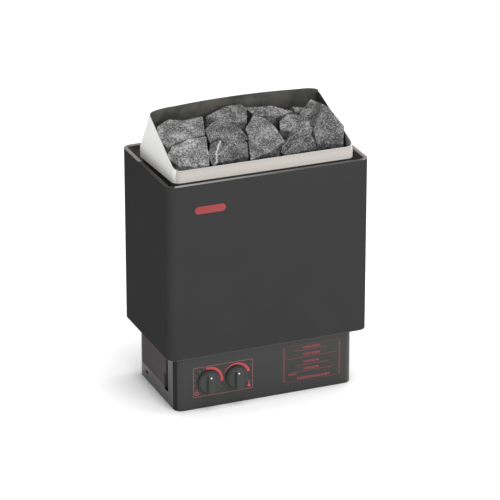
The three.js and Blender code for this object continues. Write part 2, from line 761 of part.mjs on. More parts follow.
// Heating element: two legs through the deck, joined by three half turns
function heatingElement(y) {
  const radius = element.pitch / 2;
  const [a, b, c, d] = element.legs;
  const high = element.top - radius;
  const low = element.bottom + radius;
  return bentRod([
    [a, y, element.pin],
    ...halfTurn((a + b) / 2, y, high, radius, true),
    ...halfTurn((b + c) / 2, y, low, radius, false),
    ...halfTurn((c + d) / 2, y, high, radius, true),
    [d, y, element.pin],
  ], ELEMENT_RADIUS, 8);
}

// Nut of an element pin, drawn about its own axis with its foot at zero
function elementNut() {
  const hexagon = solid(
    new THREE.CylinderGeometry(NUT_FLATS / Math.sqrt(3), NUT_FLATS / Math.sqrt(3), NUT_HEIGHT, 6)
      .rotateX(Math.PI / 2)
      .translate(0, 0, NUT_HEIGHT / 2),
  );
  return hexagon.subtract(drum(0, 0, [-THROUGH, NUT_HEIGHT + THROUGH], ELEMENT_RADIUS + FIT));
}

// Rest under the lower bends: a rail on the grate with a notch for each element
function elementRest() {
  const ys = [element.rows[0] - REST_MARGIN, element.rows[2] + REST_MARGIN];
  let body = block([-REST_WIDTH / 2, REST_WIDTH / 2], ys, [grate.top + FIT, element.bottom]);
  for (const y of element.rows) {
    const notch = new THREE.CylinderGeometry(ELEMENT_RADIUS + FIT, ELEMENT_RADIUS + FIT, REST_WIDTH * 2, 16);
    body = body.subtract(solid(notch.rotateZ(Math.PI / 2).translate(0, y, element.bottom)));
  }
  return body;
}

// Link bar that joins the pins of the three elements on one side
function linkBar(x) {
  const zs = [deck.bottom - LINK_DROP, deck.bottom - LINK_DROP + LINK_SHEET];
  const ys = [element.rows[0] - LINK_MARGIN, element.rows[2] + LINK_MARGIN];
  let body = block([x - LINK_WIDTH / 2, x + LINK_WIDTH / 2], ys, zs);
  for (const y of element.rows) {
    body = body.subtract(drum(x, y, [zs[0] - THROUGH, zs[1] + THROUGH], ELEMENT_RADIUS + FIT));
  }
  return body;
}

// One control: body behind the panel, shaft through it and knob in front of it
function control(name, x) {
  const group = new THREE.Group();
  group.position.set(x, base.front, CONTROL_HEIGHT);
  const half = CONTROL_BODY_WIDTH / 2;
  const bodyFront = BASE_SHEET + FIT;
  const body = block([-half, half], [bodyFront, bodyFront + CONTROL_BODY_DEPTH], [-half, half]);
  const socket = spindle(0, 0, [bodyFront - THROUGH, bodyFront + SHAFT_SOCKET], SHAFT_RADIUS + FIT);
  piece(`${name}_body`, body.subtract(socket), "phenolic", group);
  const shaftEnds = [-RUNNING - KNOB_BORE + FIT, bodyFront + SHAFT_SOCKET - FIT];
  piece(`${name}_shaft`, spindle(0, 0, shaftEnds, SHAFT_RADIUS), "zinc", group);
  piece(`${name}_knob`, knob(), "knob", group);
  heater.add(group);
}

// Knob: skirt, tapered body and an upright tapered grip bar, with a blind bore for the shaft
function knob() {
  const skirtFront = -RUNNING - KNOB_SKIRT;
  const bodyFront = skirtFront - KNOB_BODY;
  const round = turned([
    [0, -RUNNING],
    [KNOB_RADIUS, -RUNNING],
    [KNOB_RADIUS, skirtFront + KNOB_EDGE],
    [KNOB_RADIUS - KNOB_EDGE, skirtFront],
    [KNOB_TOP_RADIUS, bodyFront + KNOB_EDGE],
    [KNOB_TOP_RADIUS - KNOB_EDGE, bodyFront],
    [0, bodyFront],
  ], 32);
  const reach = KNOB_TOP_RADIUS - KNOB_EDGE;
  const grip = solid(new ConvexGeometry([
    ...gripSection(GRIP_WIDTH / 2, reach, skirtFront),
    ...gripSection(GRIP_FRONT_WIDTH / 2, reach - GRIP_TAPER, bodyFront - GRIP_HEIGHT),
  ]));
  const bore = spindle(0, 0, [-RUNNING - KNOB_BORE, THROUGH], SHAFT_RADIUS + FIT);
  return round.add(grip).subtract(bore);
}

// Points of the grip bar at one distance in front of the panel
function gripSection(half, reach, level) {
  const outline = roundedOutline([-half, half], [-reach, reach], half * 2 / 3);
  return outline.getPoints(3).map(({ x, y }) => new THREE.Vector3(x, level, y));
}

// Overheat limiter on the bottom cover, with a blind bore for the reset button
function limiter() {
  const half = LIMITER_SIZE / 2;
  const body = block(
    [limiterX - half, limiterX + half],
    [limiterY - half, limiterY + half],
    [base.floor, base.floor + LIMITER_HEIGHT],
  );
  const boreTop = BUTTON_RECESS + BUTTON_LENGTH + BUTTON_TRAVEL + FIT;
  piece("limiter_body", body.subtract(drum(limiterX, limiterY, [0, boreTop], BUTTON_RADIUS + FIT)), "phenolic");
  const buttonZs = [BUTTON_RECESS, BUTTON_RECESS + BUTTON_LENGTH];
  piece("reset_button", drum(limiterX, limiterY, buttonZs, BUTTON_RADIUS), "red");
}

// Capillary from a control up through the deck and the front air window to its bulb
function sensor(startX, startY, startZ, x) {
  const windowLevel = chamber.bottom + WINDOW_FOOT + WINDOW_HEIGHT / 2;
  const bulbBottom = deck.top + BULB_LEVEL;
  const step = WINDOW_HEIGHT / 4;
  const turnLevel = (startZ + deck.bottom) / 2;
  const route = [[startX, startY, startZ]];
  if (startY !== capillaryY) {
    route.push([startX, startY, turnLevel - LEAD_BEND], [x, capillaryY, turnLevel + LEAD_BEND]);
  }
  route.push(
    [x, capillaryY, windowLevel - step],
    [x, bulbY, windowLevel + step],
    [x, bulbY, bulbBottom + BULB_RADIUS],
  );
  const capillary = bentRod(roundedRoute(route, LEAD_BEND / 3), CAPILLARY_RADIUS, 6);
  return capillary.add(drum(x, bulbY, [bulbBottom, bulbBottom + BULB_LENGTH], BULB_RADIUS, 12));
}

// Clip that holds a bulb against the front of the stone chamber
function sensorClip(x) {
  const middle = deck.top + BULB_LEVEL + BULB_LENGTH / 2;
  const zs = [middle - CLIP_HEIGHT / 2, middle + CLIP_HEIGHT / 2];
  const ys = [bulbY - BULB_RADIUS - FIT - CLIP_WALL, chamber.front - FIT];
  const body = block([x - CLIP_WIDTH / 2, x + CLIP_WIDTH / 2], ys, zs);
  const bore = drum(x, bulbY, [zs[0] - THROUGH, zs[1] + THROUGH], BULB_RADIUS + FIT);
  const slit = block(
    [x - BULB_RADIUS - FIT, x + BULB_RADIUS + FIT],
    [bulbY, chamber.front + THROUGH],
    [zs[0] - THROUGH, zs[1] + THROUGH],
  );
  return body.subtract(bore).subtract(slit);
}

// Terminal block on the bottom cover, with a screw well for each pole
function terminalBlock() {
  const y = base.front + TERMINAL_BACK;
  const top = base.floor + TERMINAL_HEIGHT;
  let body = block(
    [terminalX - TERMINAL_LENGTH / 2, terminalX + TERMINAL_LENGTH / 2],
    [y - TERMINAL_WIDTH / 2, y + TERMINAL_WIDTH / 2],
    [base.floor, top],
  );
  const pitch = TERMINAL_LENGTH / TERMINAL_POLES;
  for (let i = 0; i < TERMINAL_POLES; i += 1) {
    const x = terminalX + (i - (TERMINAL_POLES - 1) / 2) * pitch;
    body = body.subtract(drum(x, y, [top - TERMINAL_POLE_DEPTH, top + THROUGH], TERMINAL_POLE_RADIUS, 12));
  }
  return body;
}

// Earth stud with its nut, drawn about its own axis with its foot at zero
function earthStud() {
  const nutFoot = EARTH_LENGTH / 3;
  return turnedUpright([
    [0, 0],
    [EARTH_NUT_RADIUS, 0],
    [EARTH_NUT_RADIUS, nutFoot / 2],
    [EARTH_RADIUS, nutFoot / 2],
    [EARTH_RADIUS, nutFoot],
    [EARTH_NUT_RADIUS, nutFoot],
    [EARTH_NUT_RADIUS, nutFoot * 2],
    [EARTH_RADIUS, nutFoot * 2],
    [EARTH_RADIUS, EARTH_LENGTH],
    [0, EARTH_LENGTH],
  ], 12);
}

// Cable inlet in the rear of the base: gland outside and its nut inside, both on one axis
function cableInlet() {
  const group = new THREE.Group();
  group.position.set(glandX, base.back, GLAND_LEVEL);
  const gland = turned([
    [GLAND_BORE, -GLAND_IN],
    [GLAND_NECK, -GLAND_IN],
    [GLAND_NECK, FIT],
    [GLAND_COLLAR, FIT],
    [GLAND_COLLAR, GLAND_FLANGE],
    [(GLAND_COLLAR + GLAND_BORE) / 2, GLAND_OUT],
    [GLAND_BORE, GLAND_OUT],
    [GLAND_BORE, -GLAND_IN],
  ], 20);
  piece("cable_gland", gland, "nylon", group);
  const nutFront = -BASE_SHEET - FIT - GLAND_NUT;
  const nut = solid(
    new THREE.CylinderGeometry(GLAND_COLLAR, GLAND_COLLAR, GLAND_NUT, 6).translate(0, nutFront + GLAND_NUT / 2, 0),
  );
  const thread = spindle(0, 0, [nutFront - THROUGH, THROUGH], GLAND_NECK + FIT, 20);
  piece("gland_nut", nut.subtract(thread), "nylon", group);
  heater.add(group);
}

// Leads between the supply, the controls and the limiter
function leads() {
  const rear = controlBodyRear + FIT;
  const low = CONTROL_HEIGHT - CONTROL_BODY_WIDTH / 4;
  const side = CONTROL_BODY_WIDTH / 4;
  const terminalLeft = terminalX - TERMINAL_LENGTH / 2 - FIT;
  const terminalY = base.front + TERMINAL_BACK - TERMINAL_WIDTH / 4;
  const lead = (corners) => bentRod(roundedRoute(corners, LEAD_BEND), LEAD_RADIUS, 6);
  piece("lead_supply_timer", lead([
    [terminalLeft, terminalY, LEAD_LEVEL],
    [timerX - side, terminalY, LEAD_LEVEL],
    [timerX - side, rear + 3 * LEAD_BEND, low],
    [timerX - side, rear, low],
  ]), "silicone");
  piece("lead_timer_thermostat", lead([
    [timerX + side, rear, low],
    [timerX + side, rear + LEAD_BEND, low],
    [thermostatX - side, rear + LEAD_BEND, low],
    [thermostatX - side, rear, low],
  ]), "silicone");
  piece("lead_thermostat_limiter", lead([
    [thermostatX + side, rear, low],
    [thermostatX + side, rear + LEAD_BEND, low],
    [thermostatX + CONTROL_BODY_WIDTH, limiterY, LEAD_LEVEL],
    [limiterX - LIMITER_SIZE / 2 - FIT, limiterY, LEAD_LEVEL],
  ]), "silicone");
}

// Bracket between the stone chamber and the casing: a channel that lies across the air gap
function casingBracket(side) {
  const near = chamber.half + FIT;
  const far = casing.half - CASING_SHEET - FIT;
  const zs = [deck.top + BRACKET_LEVEL, deck.top + BRACKET_LEVEL + BRACKET_HEIGHT];
  const xs = side > 0 ? [near, far] : [-far, -near];
  const ys = [chamber.middle - BRACKET_LENGTH / 2, chamber.middle + BRACKET_LENGTH / 2];
  const hollow = block(
    [xs[0] + BRACKET_SHEET, xs[1] - BRACKET_SHEET],
    [ys[0] - THROUGH, ys[1] + THROUGH],
    [zs[0] + BRACKET_SHEET, zs[1] + THROUGH],
  );
  return block(xs, ys, zs).subtract(hollow);
}

// Wall rack: a web on the wall and two flanges whose hooks reach through the casing
function wallBracket() {
  const web = block([-rack.half, rack.half], [rack.back - RACK_SHEET, rack.back], [rack.bottom, rack.top]);
  const inside = casing.back - CASING_SHEET - FIT;
  const flange = new THREE.Shape();
  flange.moveTo(rack.back - RACK_SHEET / 2, rack.bottom);
  flange.lineTo(rack.back - RACK_SHEET / 2, rack.top);
  flange.lineTo(rack.front, rack.top);
  flange.lineTo(rack.front, rack.hookTop);
  flange.lineTo(inside, rack.hookTop);
  flange.lineTo(inside, rack.hookTop + HOOK_TIP);
  flange.lineTo(inside - HOOK_REACH, rack.hookTop + HOOK_TIP);
  flange.lineTo(inside - HOOK_REACH, rack.hookTop - HOOK_HEIGHT);
  flange.lineTo(rack.front, rack.hookTop - HOOK_HEIGHT);
  flange.lineTo(rack.front, rack.bottom);
  let body = web;
  body = body.add(alongX(flange, [-rack.half, -rack.half + RACK_SHEET]));
  body = body.add(alongX(flange, [rack.half - RACK_SHEET, rack.half]));
  for (const x of [-1, 1]) {
    for (const z of [rack.bottom + RACK_HOLE_EDGE, rack.top - RACK_HOLE_EDGE]) {
      const ys = [rack.back - RACK_SHEET - THROUGH, rack.back + THROUGH];
      body = body.subtract(spindle(x * (rack.half - RACK_HOLE_EDGE), z, ys, RACK_HOLE));
    }
  }
  return body;
}

// Lower stones between two elements: angular stones wedged together in columns and layers
function stoneRow(front, back, seed) {
  const next = numberRun(seed);
  const half = chamber.innerHalf - ROW_END_GAP;
  const floor = grate.top + FIT;
  const cell = new THREE.Vector3(
    2 * half / ROW_COLUMNS,
    back - front,
    (bedLevel - floor) / (ROW_LAYERS - 0.3),
  );
  let body;
  for (let layer = 0; layer < ROW_LAYERS; layer += 1) {
    for (let column = 0; column < ROW_COLUMNS; column += 1) {
      const shape = new THREE.IcosahedronGeometry(0.5, 0);
      shape.rotateX(next() * Math.PI).rotateZ(next() * Math.PI);
      shape.scale(cell.x * ROW_SWELL, cell.y * ROW_SWELL, cell.z * ROW_SWELL);
      shape.translate(
        -half + (column + 0.5) * cell.x,
        (front + back) / 2,
        floor + (layer + 0.5) * cell.z,
      );
      const stone = solid(shape);
      body = body ? body.add(stone) : stone;
    }
  }
  const rest = block([-REST_WIDTH, REST_WIDTH], [front, back], [floor - THROUGH, element.bottom + ROW_ELEMENT_GAP]);
  return body.intersect(block([-half, half], [front, back], [floor, bedLevel])).subtract(rest);
}

// Steps of the grid that the top stones are drawn on: across half the chamber, from the strip to
// the back of the collar, and from the top of the strip to the top of the hood
const STONE_STEPS = { across: 180, behind: 183, above: 77.7 };

// Top stones: the corners that show, in steps to the right, behind the strip and above it, and the
// corners of the foot on the lower stones, in steps to the right and behind the strip
const TOP_STONES = [
  {
    name: "stone_left_front",
    crown: [
      [-172, 65, 13], [-157, 76, 19], [-127, 75, 28], [-90, 77, 29], [-108, 22, -4],
      [-158, 27, -4], [-168, 40, 1], [-173, 55, 7], [-137, 38, 20],
    ],
    foot: [[-165, 30], [-165, 72], [-92, 72], [-108, 26]],
  },
  {
    name: "stone_left_back",
    crown: [
      [-168, 131, 40], [-141, 138, 48], [-99, 129, 47], [-75, 128, 51], [-88, 90, 30],
      [-138, 78, 29], [-165, 80, 20], [-171, 96, 24], [-171, 111, 30], [-130, 98, 41], [-158, 160, 8], [-84, 158, 12],
    ],
    foot: [[-165, 84], [-162, 160], [-85, 158], [-85, 96]],
  },
  {
    name: "stone_front_left",
    crown: [
      [-82, 71, 19], [-61, 69, 24], [-19, 64, 24], [-14, 56, 19], [-24, 27, -2],
      [-51, 24, -3], [-97, 25, -5], [-96, 44, 3],
    ],
    foot: [[-88, 68], [-22, 62], [-24, 28], [-92, 28]],
  },
  {
    name: "stone_middle_left",
    crown: [
      [-82, 107, 34], [-42, 115, 48], [-25, 97, 39], [-7, 67, 17], [-62, 67, 25], [-81, 73, 20],
    ],
    foot: [[-78, 104], [-40, 112], [-10, 80], [-70, 76]],
  },
  {
    name: "stone_back_left",
    crown: [
      [-69, 130, 43], [-60, 142, 52], [-40, 146, 55], [10, 145, 59], [14, 136, 51],
      [5, 108, 31], [-13, 119, 39], [-38, 127, 44], [-60, 164, 10], [8, 166, 14],
    ],
    foot: [[-65, 128], [-60, 164], [5, 166], [10, 118]],
  },
  {
    name: "stone_centre",
    crown: [
      [2, 94, 30], [20, 110, 44], [42, 99, 41], [52, 78, 32], [57, 45, 13],
      [53, 36, 6], [28, 27, 0], [-22, 19, -5], [-14, 50, 11],
    ],
    foot: [[5, 104], [40, 98], [50, 40], [-14, 24]],
  },
  {
    name: "stone_front_right",
    crown: [
      [58, 48, 10], [101, 64, 28], [113, 32, 8], [112, 22, -4], [54, 16, -6], [46, 26, -2],
    ],
    foot: [[56, 50], [104, 62], [110, 26], [54, 22]],
  },
  {
    name: "stone_middle_right",
    crown: [
      [74, 104, 35], [93, 109, 43], [112, 92, 37], [130, 67, 21], [119, 57, 14], [99, 77, 25], [62, 80, 20],
    ],
    foot: [[66, 104], [100, 108], [125, 66], [66, 80]],
  },
  {
    name: "stone_right",
    crown: [
      [116, 110, 38], [143, 114, 61], [167, 76, 48], [169, 50, 36], [172, 26, 30],
      [172, 20, 17], [171, 18, 2], [117, 29, -1], [130, 74, 28],
    ],
    foot: [[118, 112], [168, 108], [170, 24], [118, 34]],
  },
  {
    name: "stone_back_flat",
    crown: [
      [18, 149, 52], [68, 132, 50], [100, 124, 45], [100, 116, 40], [76, 112, 37], [52, 116, 34], [27, 125, 39],
      [26, 166, 8], [92, 164, 6],
    ],
    foot: [[22, 164], [95, 162], [95, 115], [30, 122]],
  },
  {
    name: "stone_back_small",
    crown: [
      [103, 131, 45], [113, 125, 47], [115, 116, 38], [105, 120, 39], [150, 128, 36], [162, 140, 18], [108, 160, 10],
    ],
    foot: [[100, 158], [160, 156], [164, 118], [102, 114]],
  },
];

/** The convex form of a top stone, grown outwards from its middle. */
function stoneForm({ crown, foot }, growth) {
  const right = chamber.innerHalf / STONE_STEPS.across;
  const behind = (collar.back - collar.front) / STONE_STEPS.behind;
  const above = HOOD_RISE / STONE_STEPS.above;
  const place = (x, y, z) => new THREE.Vector3(x * right, collar.front + y * behind, z);
  const points = crown.map(([x, y, z]) => place(x, y, collar.top + z * above));
  points.push(...foot.map(([x, y]) => place(x, y, bedLevel - THROUGH)));
  const middle = points.reduce((sum, point) => sum.add(point), new THREE.Vector3()).divideScalar(points.length);
  for (const point of points) point.addScaledVector(point.clone().sub(middle).normalize(), growth);
  return solid(new ConvexGeometry(points));
}

// Top stones stand on the flat heads of the lower stones, and each gives way to those before it
function topStones() {
  const space = hoodForm(bedLevel + FIT, collar.peak, COLLAR_SHEET + CHAMBER_SHEET + STONE_WALL_GAP);
  const taken = [];
  for (const stone of TOP_STONES) {
    let body = stoneForm(stone, 0).intersect(space);
    for (const other of taken) body = body.subtract(other);
    const parts = body.decompose().sort((a, b) => b.volume() - a.volume());
    piece(stone.name, parts[0], "stone");
    taken.push(stoneForm(stone, STONE_GAP));
  }
}

piece("outer_casing", outerCasing(), "paint");
piece("base_housing", baseHousing(), "paint");
piece("base_bottom_cover", bottomCover(), "zinc");
screwPlaces.forEach(([x, y], i) => piece(`cover_screw_${i + 1}`, coverScrew(), "zinc").position.set(x, y, 0));
piece("base_top_deck", topDeck(), "zinc");
piece("heat_shield", heatShield(), "zinc");
piece("stone_chamber", stoneChamber(), "darkSteel");
piece("steam_collar", steamCollar(), "stainless");
piece("stone_grate", stoneGrate(), "darkSteel");
element.rows.forEach((y, row) => {
  piece(`heating_element_${row + 1}`, heatingElement(y), "element");
  [element.legs[0], element.legs[3]].forEach((x, leg) => {
    piece(`element_nut_${row * 2 + leg + 1}`, elementNut(), "brass").position.set(x, y, deck.top + FIT);
  });
});
piece("element_rest", elementRest(), "darkSteel");
piece("link_bar_left", linkBar(element.legs[0]), "copper");
piece("link_bar_right", linkBar(element.legs[3]), "copper");
control("timer", timerX);
control("thermostat", thermostatX);
limiter();
const controlTop = CONTROL_HEIGHT + CONTROL_BODY_WIDTH / 2 + FIT;
piece("thermostat_sensor", sensor(thermostatCapillaryX, capillaryY, controlTop, thermostatCapillaryX), "copper");
const limiterTop = base.floor + LIMITER_HEIGHT + FIT;
piece("limiter_sensor", sensor(limiterX, limiterY, limiterTop, limiterCapillaryX), "copper");
piece("sensor_clip_left", sensorClip(thermostatCapillaryX), "zinc");
piece("sensor_clip_right", sensorClip(limiterCapillaryX), "zinc");
piece("terminal_block", terminalBlock(), "ceramic");
piece("earth_stud", earthStud(), "brass").position.set(earthX, base.front + EARTH_BACK, base.floor);
cableInlet();
leads();
piece("casing_bracket_left", casingBracket(-1), "zinc");
piece("casing_bracket_right", casingBracket(1), "zinc");
piece("wall_bracket", wallBracket(), "zinc");
const [frontElement, middleElement, backElement] = element.rows;
const rowGap = ELEMENT_RADIUS + ROW_ELEMENT_GAP;
piece("stone_row_front", stoneRow(frontElement + rowGap, middleElement - rowGap, 11), "stone");
piece("stone_row_back", stoneRow(middleElement + rowGap, backElement - rowGap, 29), "stone");
topStones();

export default heater;
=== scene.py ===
"""Looks of a wall-hung sauna heater: a painted jacket on a base, a steam collar and its stones."""
import logging
import math
from collections.abc import Callable, Iterator, Sequence
from contextlib import contextmanager
from dataclasses import dataclass, field
from enum import Enum
from typing import Any

import bmesh
import bpy
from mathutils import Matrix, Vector


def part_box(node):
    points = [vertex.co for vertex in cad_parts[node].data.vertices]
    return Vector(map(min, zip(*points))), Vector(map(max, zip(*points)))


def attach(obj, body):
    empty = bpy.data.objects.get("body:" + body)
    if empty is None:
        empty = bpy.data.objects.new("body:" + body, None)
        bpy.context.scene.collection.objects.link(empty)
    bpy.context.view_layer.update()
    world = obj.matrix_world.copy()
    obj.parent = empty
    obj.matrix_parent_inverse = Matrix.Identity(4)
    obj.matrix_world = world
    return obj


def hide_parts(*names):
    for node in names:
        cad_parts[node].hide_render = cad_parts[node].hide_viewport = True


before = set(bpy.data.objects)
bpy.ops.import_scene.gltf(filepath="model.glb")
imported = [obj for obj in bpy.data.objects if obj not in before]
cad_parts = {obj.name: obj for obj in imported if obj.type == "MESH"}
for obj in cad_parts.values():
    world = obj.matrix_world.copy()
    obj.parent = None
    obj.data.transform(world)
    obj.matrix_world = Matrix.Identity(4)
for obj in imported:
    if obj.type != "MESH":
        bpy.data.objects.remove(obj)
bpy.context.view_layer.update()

LOG = logging.getLogger("sauna_heater")
MM = 0.001


class Kind(Enum):
    """What a selection in edit mode is made of."""

    VERTEX = "VERT"
    EDGE = "EDGE"
    FACE = "FACE"


class Combine(Enum):
    """How a tool acts on a piece."""

    CUT = "DIFFERENCE"
    WELD = "UNION"
    KEEP = "INTERSECT"


def linear(code: str) -> tuple[float, float, float, float]:
    """Turns an sRGB hex value into a linear colour.

    Args:
        code: the colour as six hex digits after a hash.

    Returns:
        Red, green, blue and an alpha of one.
    """
    parts = [int(code[i:i + 2], 16) / 255 for i in (1, 3, 5)]
    red, green, blue = (p / 12.92 if p <= 0.04045 else ((p + 0.055) / 1.055) ** 2.4 for p in parts)
    return red, green, blue, 1.0


def add_node(
    tree: bpy.types.NodeTree,
    kind: str,
    settings: dict[str | int, Any] | None = None,
    links: dict[str | int, bpy.types.NodeSocket] | None = None,
) -> bpy.types.Node:
    """Adds a shader node with its settings and links.

    Args:
        tree: the node tree that takes it.
        kind: the node's class in Blender.
        settings: values by input name or number, or by attribute where no input has that name.
        links: the output socket that feeds each named or numbered input.

    Returns:
        The new node.
    """
    node = tree.nodes.new(kind)
    for key, value in (settings or {}).items():
        if isinstance(key, int) or key in node.inputs:
            node.inputs[key].default_value = value
        else:
            setattr(node, key, value)
    for key, socket in (links or {}).items():
        tree.links.new(socket, node.inputs[key])
    return node


def per_metre(size_mm: float) -> float:
    """Returns the texture scale that gives features of a size in millimetres."""
    return 1000 / size_mm


@dataclass(frozen=True)
class Finish:
    """A named surface finish that one record slot uses."""

    name: str
    slot: str
    colour: str
    roughness: float

    def begin(self) -> tuple[bpy.types.Material, bpy.types.Node, bpy.types.NodeSocket]:
        """Starts the material.

        Returns:
            The material, its shader and the Object coordinates.
        """
        material = bpy.data.materials.new(self.name)
        material.use_nodes = True
        shader = material.node_tree.nodes["Principled BSDF"]
        shader.inputs["Roughness"].default_value = self.roughness
        coordinates = add_node(material.node_tree, "ShaderNodeTexCoord").outputs["Object"]
        return material, shader, coordinates

    def build(self) -> bpy.types.Material:
        """Returns the finished material."""
        raise NotImplementedError


@dataclass(frozen=True)
class PowderCoat(Finish):
    """Anthracite powder coat on sheet steel, baked: a faint orange peel and a soft sheen."""

    specular: float = 0.3
    peel_mm: float = 3.0  # the real peel is about 1 mm, too fine to show
    patch_mm: float = 70.0
    highlight_fade: tuple[float, float, str] | None = None  # from where to where in mm along X a painted highlight fades out, and the darker coat it fades to

    def build(self) -> bpy.types.Material:
        """Returns the finished material."""
        material, shader, place = self.begin()
        tree = material.node_tree
        patch = add_node(tree, "ShaderNodeTexNoise", {"Scale": per_metre(self.patch_mm), "Detail": 2.0}, {"Vector": place})
        base = Vector(linear(self.colour)[:3])
        tone = add_node(
            tree, "ShaderNodeMix",
            {"data_type": "RGBA", 6: (*(base * 0.93), 1.0), 7: (*(base * 1.07), 1.0)},
            {0: patch.outputs["Fac"]},
        )
        peel = add_node(tree, "ShaderNodeTexNoise", {"Scale": per_metre(self.peel_mm), "Detail": 3.0}, {"Vector": place})
        gloss = add_node(
            tree, "ShaderNodeMapRange",
            {"To Min": self.roughness - 0.05, "To Max": self.roughness + 0.05},
            {"Value": peel.outputs["Fac"]},
        )
        bump = add_node(tree, "ShaderNodeBump", {"Strength": 0.12, "Distance": 0.1 * MM}, {"Height": peel.outputs["Fac"]})
        shader.inputs["Specular IOR Level"].default_value = self.specular
        # painted highlight: paler at one end along X, fading to the darker coat
        if self.highlight_fade:
            start, end, coat = self.highlight_fade
            axes = add_node(tree, "ShaderNodeSeparateXYZ", {}, {"Vector": place})
            whole = add_node(
                tree, "ShaderNodeMapRange", {"From Min": start * MM, "From Max": end * MM}, {"Value": axes.outputs["X"]},
            )
            tone = add_node(
                tree, "ShaderNodeMix", {"data_type": "RGBA", 7: linear(coat)}, {0: whole.outputs["Result"], 6: tone.outputs[2]},
            )
        tree.links.new(tone.outputs[2], shader.inputs["Base Color"])
        tree.links.new(gloss.outputs["Result"], shader.inputs["Roughness"])
        tree.links.new(bump.outputs["Normal"], shader.inputs["Normal"])
        return material


@dataclass(frozen=True)
class BrushedSteel(Finish):
    """Ground stainless steel: fine lines along the sheet that stretch the light across them."""

    metallic: float = 1.0
    line_mm: float = 1.6  # the real lines are about 0.1 mm apart, too fine to show
    run_mm: float = 90.0
    painted_lift: tuple[float, float, float] = (0.0, 1.0, 1.0)  # low and high level in mm, and how much paler the low edge is painted: painted light against the shade near the lower edge

    def build(self) -> bpy.types.Material:
        """Returns the finished material."""
        material, shader, place = self.begin()
        tree = material.node_tree
        stretch = add_node(
            tree, "ShaderNodeMapping",
            {"Scale": (per_metre(self.run_mm), per_metre(self.run_mm), per_metre(self.line_mm))},
            {"Vector": place},
        )
        lines = add_node(tree, "ShaderNodeTexNoise", {"Scale": 1.0, "Detail": 4.0}, {"Vector": stretch.outputs["Vector"]})
        base = Vector(linear(self.colour)[:3])
        tone = add_node(
            tree, "ShaderNodeMix",
            {"data_type": "RGBA", 6: (*(base * 0.94), 1.0), 7: (*(base * 1.04), 1.0)},
            {0: lines.outputs["Fac"]},
        )
        # painted light: the colour is made paler towards the lower edge, where the rim's shade falls
        low, high, pale = self.painted_lift
        axes = add_node(tree, "ShaderNodeSeparateXYZ", {}, {"Vector": place})
        level = add_node(
            tree, "ShaderNodeMapRange",
            {"From Min": low * MM, "From Max": high * MM, "To Min": pale, "To Max": 1.0},
            {"Value": axes.outputs["Z"]},
        )
        tint = add_node(
            tree, "ShaderNodeVectorMath", {"operation": "SCALE"},
            {"Vector": tone.outputs[2], "Scale": level.outputs["Result"]},
        )
        gloss = add_node(
            tree, "ShaderNodeMapRange",
            {"To Min": self.roughness - 0.06, "To Max": self.roughness + 0.08},
            {"Value": lines.outputs["Fac"]},
        )
        bump = add_node(tree, "ShaderNodeBump", {"Strength": 0.06, "Distance": 0.1 * MM}, {"Height": lines.outputs["Fac"]})
        shader.inputs["Metallic"].default_value = self.metallic
        tree.links.new(tint.outputs["Vector"], shader.inputs["Base Color"])
        tree.links.new(gloss.outputs["Result"], shader.inputs["Roughness"])
        tree.links.new(bump.outputs["Normal"], shader.inputs["Normal"])
        return material


@dataclass(frozen=True)
class PatchyMetal(Finish):
    """Plain metal with the uneven tone that heat, zinc or handling leaves on it."""

    second: str = "#808080"
    patch_mm: float = 9.0
    metallic: float = 1.0

    def build(self) -> bpy.types.Material:
        """Returns the finished material."""
        material, shader, place = self.begin()
        tree = material.node_tree
        patch = add_node(
            tree, "ShaderNodeTexNoise",
            {"Scale": per_metre(self.patch_mm), "Detail": 5.0, "Roughness": 0.6},
            {"Vector": place},
        )
        contrast = add_node(
            tree, "ShaderNodeMapRange", {"From Min": 0.35, "From Max": 0.65}, {"Value": patch.outputs["Fac"]},
        )
        tone = add_node(
            tree, "ShaderNodeMix",
            {"data_type": "RGBA", 6: linear(self.colour), 7: linear(self.second)},
            {0: contrast.outputs["Result"]},
        )
        gloss = add_node(
            tree, "ShaderNodeMapRange",
            {"To Min": self.roughness - 0.08, "To Max": self.roughness + 0.08},
            {"Value": patch.outputs["Fac"]},
        )
        bump = add_node(tree, "ShaderNodeBump", {"Strength": 0.1, "Distance": 0.15 * MM}, {"Height": patch.outputs["Fac"]})
        shader.inputs["Metallic"].default_value = self.metallic
        tree.links.new(tone.outputs[2], shader.inputs["Base Color"])
        tree.links.new(gloss.outputs["Result"], shader.inputs["Roughness"])
        tree.links.new(bump.outputs["Normal"], shader.inputs["Normal"])
        return material


@dataclass(frozen=True)
class ZincSpangle(Finish):
    """Hot-dip galvanised sheet: leaf-like zinc crystals, each with its own shade of grey."""

    crystal_mm: float = 7.0

    def build(self) -> bpy.types.Material:
        """Returns the finished material."""
        material, shader, place = self.begin()
        tree = material.node_tree
        crystals = add_node(
            tree, "ShaderNodeTexVoronoi", {"Scale": per_metre(self.crystal_mm), "Randomness": 1.0}, {"Vector": place},
        )
        shade = add_node(tree, "ShaderNodeSeparateColor", None, {"Color": crystals.outputs["Color"]})
        base = Vector(linear(self.colour)[:3])
        tone = add_node(
            tree, "ShaderNodeMix",
            {"data_type": "RGBA", 6: (*(base * 0.82), 1.0), 7: (*(base * 1.1), 1.0)},
            {0: shade.outputs["Red"]},
        )
        gloss = add_node(
            tree, "ShaderNodeMapRange",
            {"To Min": self.roughness - 0.1, "To Max": self.roughness + 0.1},
            {"Value": shade.outputs["Green"]},
        )
        shader.inputs["Metallic"].default_value = 1.0
        tree.links.new(tone.outputs[2], shader.inputs["Base Color"])
        tree.links.new(gloss.outputs["Result"], shader.inputs["Roughness"])
        return material


